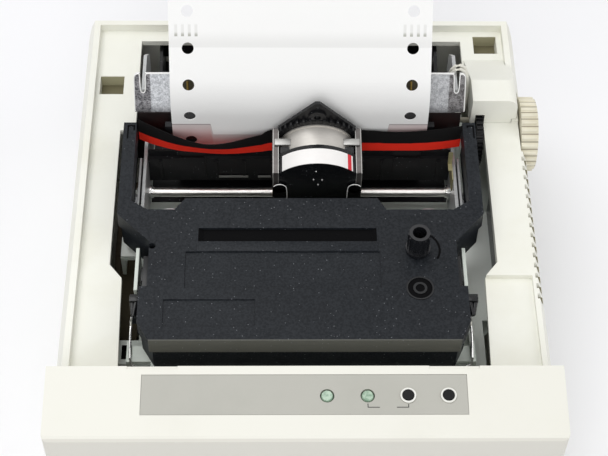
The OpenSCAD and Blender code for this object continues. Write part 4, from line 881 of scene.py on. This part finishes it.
class PRINTER_OT_head_details(bpy.types.Operator):
    """Add the print head's clips, ribbed arc, tabs and cap pins, painted highlights on its cheek edges, and the
    carriage's ears with their painted highlight wires
    """
    bl_idname = "printer.head_details"
    bl_label = "Print head details"

    def execute(self, context):
        clips = on_both_sides((((9.0, -9.0, 8.7), (14.6, -6.4, 9.3)), ((14.75, -19.0, 5.2), (15.0, -1.4, 8.2))))
        block_piece("head_clips", clips, "clip steel", "print_carriage", "frame_zinc", HEAD, 0.15)
        head_ribs()
        pins = bmesh.new()
        spots = ((-0.5, 9.6), (-1.3, 4.6), (1.6, 4.5), (0.3, 1.6))
        for x, h in spots[:context.scene.printer_mechanism.cap_pins]:
            add_rod(pins, (x, -20.1, h), (x, -20.5, h), 0.35, HEAD, 0.25, 16)
        piece("head_cap_pins", pins, "bright steel", "print_carriage", "frame_zinc")
        carriage_ears()
        head_cheeks()
        return {"FINISHED"}


def guide_covers():
    """Black covers on the front paper guide, and a bright strip in two lengths below them."""
    covers = [((low, -57.55, -6.8), (high, -57.3, -3.3)) for low, high in ((-53.6, -43.2), (-33.0, 33.0), (43.2, 53.6))]
    covers += on_both_sides([((38.1 - 4.7, -59.35, -17.0), (38.1 + 4.7, -59.1, -5.6))])
    block_piece("front_guide_covers", covers, "black plastic", "housing", "carriage_black")
    strip = [((low, -59.62, -16.5), (high, -59.3, -15.6)) for low, high in ((-28.9, -18.4), (-14.9, -10.2))]
    block_piece("front_guide_strip", strip, "clip steel", "housing", "frame_zinc")


def gap_plates():
    """Painted shade and painted light, seen through the gaps on both sides of the cassette and of the tear plate: dark
    plates stand for shade, pale ones for lit patches.
    """
    block_piece("left_gap_shade", [((-63.2, -122.9, -25.99), (-55.9, -89.4, -25.9))],
                "shadow brown", "housing", "carriage_black")
    # A black sheet standing for shade in the right gap
    block_piece("right_gap_wall", [((66.0, -107.0, -20.4), (66.3, -72.0, -5.7))],
                "black smooth", "housing", "carriage_black", CASE)
    # Dark sheets under the ends of the tear plate: painted shade with a faint painted red reflection
    block_piece("tear_plate_skirts", on_both_sides([((44.7, -51.3, -1.5), (56.6, -51.0, 9.42))]),
                "smoked film", "housing", "tear_zinc")
    # Pale plates of painted light, where the chassis and its brackets are lit
    plates = [((-62.8, -96.1, -14.3), (-57.7, -88.0, -14.0)), ((55.9, -118.5, -20.8), (66.3, -85.5, -20.4)),
              ((60.0, -85.5, -20.8), (66.3, -72.0, -20.4)), ((55.9, -150.0, -20.8), (60.9, -118.5, -20.4)),
              ((-62.9, -139.5, -14.3), (-57.7, -130.3, -14.0))]
    block_piece("gap_plates", plates, "gap pale", "housing", "chassis_zinc", CASE)


def tear_edges():
    """The pins that show in the paper's holes, and a wire of painted highlight round the end of each tear plate."""
    pins = bmesh.new()
    for x in (-39.0, 38.6):
        add_rod(pins, (x, -47.2, 16.7), (x, -45.9, 19.9), 0.4, MECH, sides=16)
    piece("sheet_pins", pins, "old brass", "housing", "leaf_brass")
    slope = Vector((0, math.sin(TEAR_SLOPE), math.cos(TEAR_SLOPE)))
    foot = Vector((0, -54.2, 3.0))
    outline = ((57.55, 7.6), (57.55, 19.9), (57.2, 21.2), (55.9, 21.75), (55.5, 21.4), (55.42, 15.6), (54.9, 14.5),
               (54.1, 14.5), (53.58, 15.6), (53.5, 21.4), (52.9, 21.75), (45.2, 21.75))
    for side in SIDES:
        points = [tuple(Vector((side * x, 0, 0)) + foot + slope * along) for x, along in outline]
        wire("tear_edge_" + SIDE_NAMES[side], points, 0.2, "cut edge", "housing", "tear_zinc", MECH)


class PRINTER_OT_mechanism_details(bpy.types.Operator):
    """Add the shaft's rings, the paper guide's covers, painted highlights on the tear plate's edges, and the painted
    shade and light in the gaps
    """
    bl_idname = "printer.mechanism_details"
    bl_label = "Mechanism details"

    def execute(self, context):
        shaft_y, shaft_z = -65.2, -18
        ring = context.scene.printer_mechanism.shaft_ring / MM
        rings = bmesh.new()
        for side in SIDES:
            for a, b, radius in ((53.8, 52.9, ring), (52.9, 52.2, ring - 0.7)):
                add_rod(rings, (side * a, shaft_y, shaft_z), (side * b, shaft_y, shaft_z), radius, MECH, sides=36)
        piece("shaft_rings", rings, "bright steel", "housing", "shaft_steel")
        # A black sheet on the chassis: painted shade under the paper's path
        block_piece("chassis_liner", [((-53.6, -63.6, -25.98), (53.6, -30.5, -25.72))],
                    "black plastic", "housing", "carriage_black")
        screw = bmesh.new()
        add_dome(screw, (36.3, -78.6, -26), 3.0, 1.7, MECH)
        piece("chassis_dome_screw", screw, "black smooth", "housing", "screw_steel")
        guide_covers()
        gap_plates()
        tear_edges()
        # Black plates for the bracket's windows: painted shade seen through them
        windows = [((-60.2, -137.6, -14.1), (-58.4, -132.2, -13.95)), ((-60.2, -134.0, -14.1), (-57.7, -132.2, -13.95))]
        block_piece("chassis_windows", windows, "slot black", "housing", "carriage_black", CASE)
        return {"FINISHED"}


def panel_rule():
    """The thin printed rule that links the second lamp to the first button, in two halves."""
    face, thick, line = -0.1, 0.03, 0.12
    lamp_x, button_x, row, drop, reach = 18.9, 31.3, -9.9, -13.6, 3.6
    lines = (((lamp_x - line, drop), (lamp_x + line, row - 2.6)),
             ((lamp_x - line, drop - 2 * line), (lamp_x + reach, drop)),
             ((button_x - reach, drop - 2 * line), (button_x + line, drop)),
             ((button_x - line, drop), (button_x + line, row - 2.8)))
    rows = [((*low, face), (*high, face + thick)) for low, high in lines]
    block_piece("panel_rule", rows, "black smooth", "housing", "panel_grey", BEZEL)


class PRINTER_OT_panel_details(bpy.types.Operator):
    """Add the rule on the panel, the bezel's rests, and the painted shade in the rim's pockets and behind the vents"""
    bl_idname = "printer.panel_details"
    bl_label = "Panel and case details"

    def execute(self, context):
        panel_rule()
        rests = [((x + 0.05, -156.98, 10.45), (x + 15.55, -156.03, 11.7)) for x in (-55.1, 38.2)]
        block_piece("bezel_rests", rests, "bezel white", "housing", "case_cream", CASE)
        # Painted shade in the rim's two pockets: a dark floor and a less dark back wall in each
        corners = ((-73.7, -31.4), (64.4, -11.2))
        floors = [((x + 0.05, y + 0.05, -8.39), (x + 8.65, y + 8.65, -8.3)) for x, y in corners]
        walls = [((x + 0.05, y + 8.58, -8.39), (x + 8.65, y + 8.69, -3.6)) for x, y in corners]
        block_piece("pocket_floors", floors, "pocket floor", "housing", "case_cream", CASE)
        block_piece("pocket_walls", walls, "pocket wall", "housing", "case_cream", CASE)
        # Painted shade behind the vents
        vents = [((77.25, y - 0.93, -15.9), (79.1, y + 0.93, -4.4)) for y in (-62.5 - k * 4.16 for k in range(15))]
        block_piece("vent_shades", vents, "pocket floor", "housing", "case_cream", CASE)
        return {"FINISHED"}


def pale_floor(context):
    """A wide plain floor, nearly white."""
    floor = bmesh.new()
    bmesh.ops.create_grid(floor, x_segments=1, y_segments=1, size=4)
    mesh = bpy.data.meshes.new("floor")
    floor.to_mesh(mesh)
    floor.free()
    plane = bpy.data.objects.new("floor", mesh)
    context.scene.collection.objects.link(plane)
    sheet = Paint("pale floor", 0.7)
    mesh.materials.append(sheet.done(sheet.mix(sheet.noise(1.2, 2.0), (246, 246, 248), (242, 242, 245))))


def soft_lights(context):
    """Large soft discs: one above and a little behind, and weaker ones in front and on the right."""
    studio = context.scene.printer_studio
    middle = at(0, -88, -20)
    for name, spot, size, power in (
            ("key", (-0.35, 0.25, 1.05), 0.9, studio.key), ("front fill", (-0.15, -1.0, 0.75), 0.9, studio.fill),
            ("right fill", (0.9, -0.2, 0.7), 0.8, studio.fill * 0.45)):
        light = bpy.data.lights.new(name, "AREA")
        light.shape = "DISK"
        light.size = size
        light.energy = power
        lamp = bpy.data.objects.new(name, light)
        lamp.location = middle + Vector(spot)
        lamp.rotation_euler = (middle - lamp.location).to_track_quat("-Z", "Y").to_euler()
        context.scene.collection.objects.link(lamp)


def room_light(context):
    """An even world light, which the camera and reflections see as plain white."""
    light = context.scene.printer_studio.room
    world = bpy.data.worlds.new("studio")
    context.scene.world = world
    world.use_nodes = True
    sheet = Sheet(world.node_tree)
    path = sheet.node("LightPath").outputs
    shiny = sheet.maths("MAXIMUM", path["Is Glossy Ray"], path["Is Transmission Ray"])
    seen = sheet.maths("MAXIMUM", path["Is Camera Ray"], shiny)
    back = world.node_tree.nodes["Background"]
    back.inputs["Color"].default_value = (1, 1, 1, 1)
    sheet.join(sheet.plus(light, sheet.times(seen, 1.0 - light)), back.inputs["Strength"])


def photo_camera(context):
    """The camera that a pinhole fit to the case's rim gave."""
    down, yaw, roll = (math.radians(a) for a in (CAMERA_DOWN, CAMERA_YAW, CAMERA_ROLL))
    look = Vector((math.sin(yaw) * math.cos(down), math.cos(yaw) * math.cos(down), -math.sin(down)))
    right = Vector((math.cos(yaw), -math.sin(yaw), 0))
    up = right.cross(look)
    side = math.cos(roll) * right + math.sin(roll) * up
    top = -math.sin(roll) * right + math.cos(roll) * up
    data = bpy.data.cameras.new("camera")
    data.sensor_width = SENSOR_WIDTH
    data.sensor_fit = "HORIZONTAL"
    data.lens = SENSOR_WIDTH * FOCAL_PIXELS / PHOTO_WIDTH
    data.clip_start = 0.01
    camera = bpy.data.objects.new("camera", data)
    turn = Matrix((side, top, -look)).transposed().to_4x4()
    camera.matrix_world = Matrix.Translation(at(*CAMERA_SPOT)) @ turn
    context.scene.collection.objects.link(camera)
    context.scene.camera = camera


class PRINTER_OT_stage(bpy.types.Operator):
    """Set the pale floor, the soft lights and the camera"""
    bl_idname = "printer.stage"
    bl_label = "Studio"

    def execute(self, context):
        pale_floor(context)
        soft_lights(context)
        room_light(context)
        photo_camera(context)
        context.scene.view_settings.view_transform = "Standard"
        return {"FINISHED"}


OPERATORS = (PRINTER_OT_finishes, PRINTER_OT_ribbon, PRINTER_OT_cassette_details, PRINTER_OT_head_details,
             PRINTER_OT_mechanism_details, PRINTER_OT_panel_details, PRINTER_OT_stage)
SETTINGS = {"printer_case": CaseSettings, "printer_cassette": CassetteSettings,
            "printer_mechanism": MechanismSettings, "printer_studio": StudioSettings}


class PRINTER_PT_panel(bpy.types.Panel):
    """Lists the steps that dress the printer and the values they use"""
    bl_label = "Printer"
    bl_idname = "PRINTER_PT_panel"
    bl_space_type = "VIEW_3D"
    bl_region_type = "UI"
    bl_category = "Printer"

    def draw(self, context):
        for name in SETTINGS:
            box = self.layout.box()
            values = getattr(context.scene, name)
            for key in values.bl_rna.properties.keys():
                if key not in ("rna_type", "name"):
                    box.prop(values, key)
        for operator in OPERATORS:
            self.layout.operator(operator.bl_idname)


CLASSES = (*SETTINGS.values(), *OPERATORS, PRINTER_PT_panel)


def register():
    for cls in CLASSES:
        bpy.utils.register_class(cls)
    for name, cls in SETTINGS.items():
        setattr(bpy.types.Scene, name, PointerProperty(type=cls))


def unregister():
    for name in SETTINGS:
        delattr(bpy.types.Scene, name)
    for cls in reversed(CLASSES):
        bpy.utils.unregister_class(cls)


def main():
    register()
    for operator in OPERATORS:
        section, name = operator.bl_idname.split(".")
        getattr(getattr(bpy.ops, section), name)()


if __name__ == "__main__":
    main()
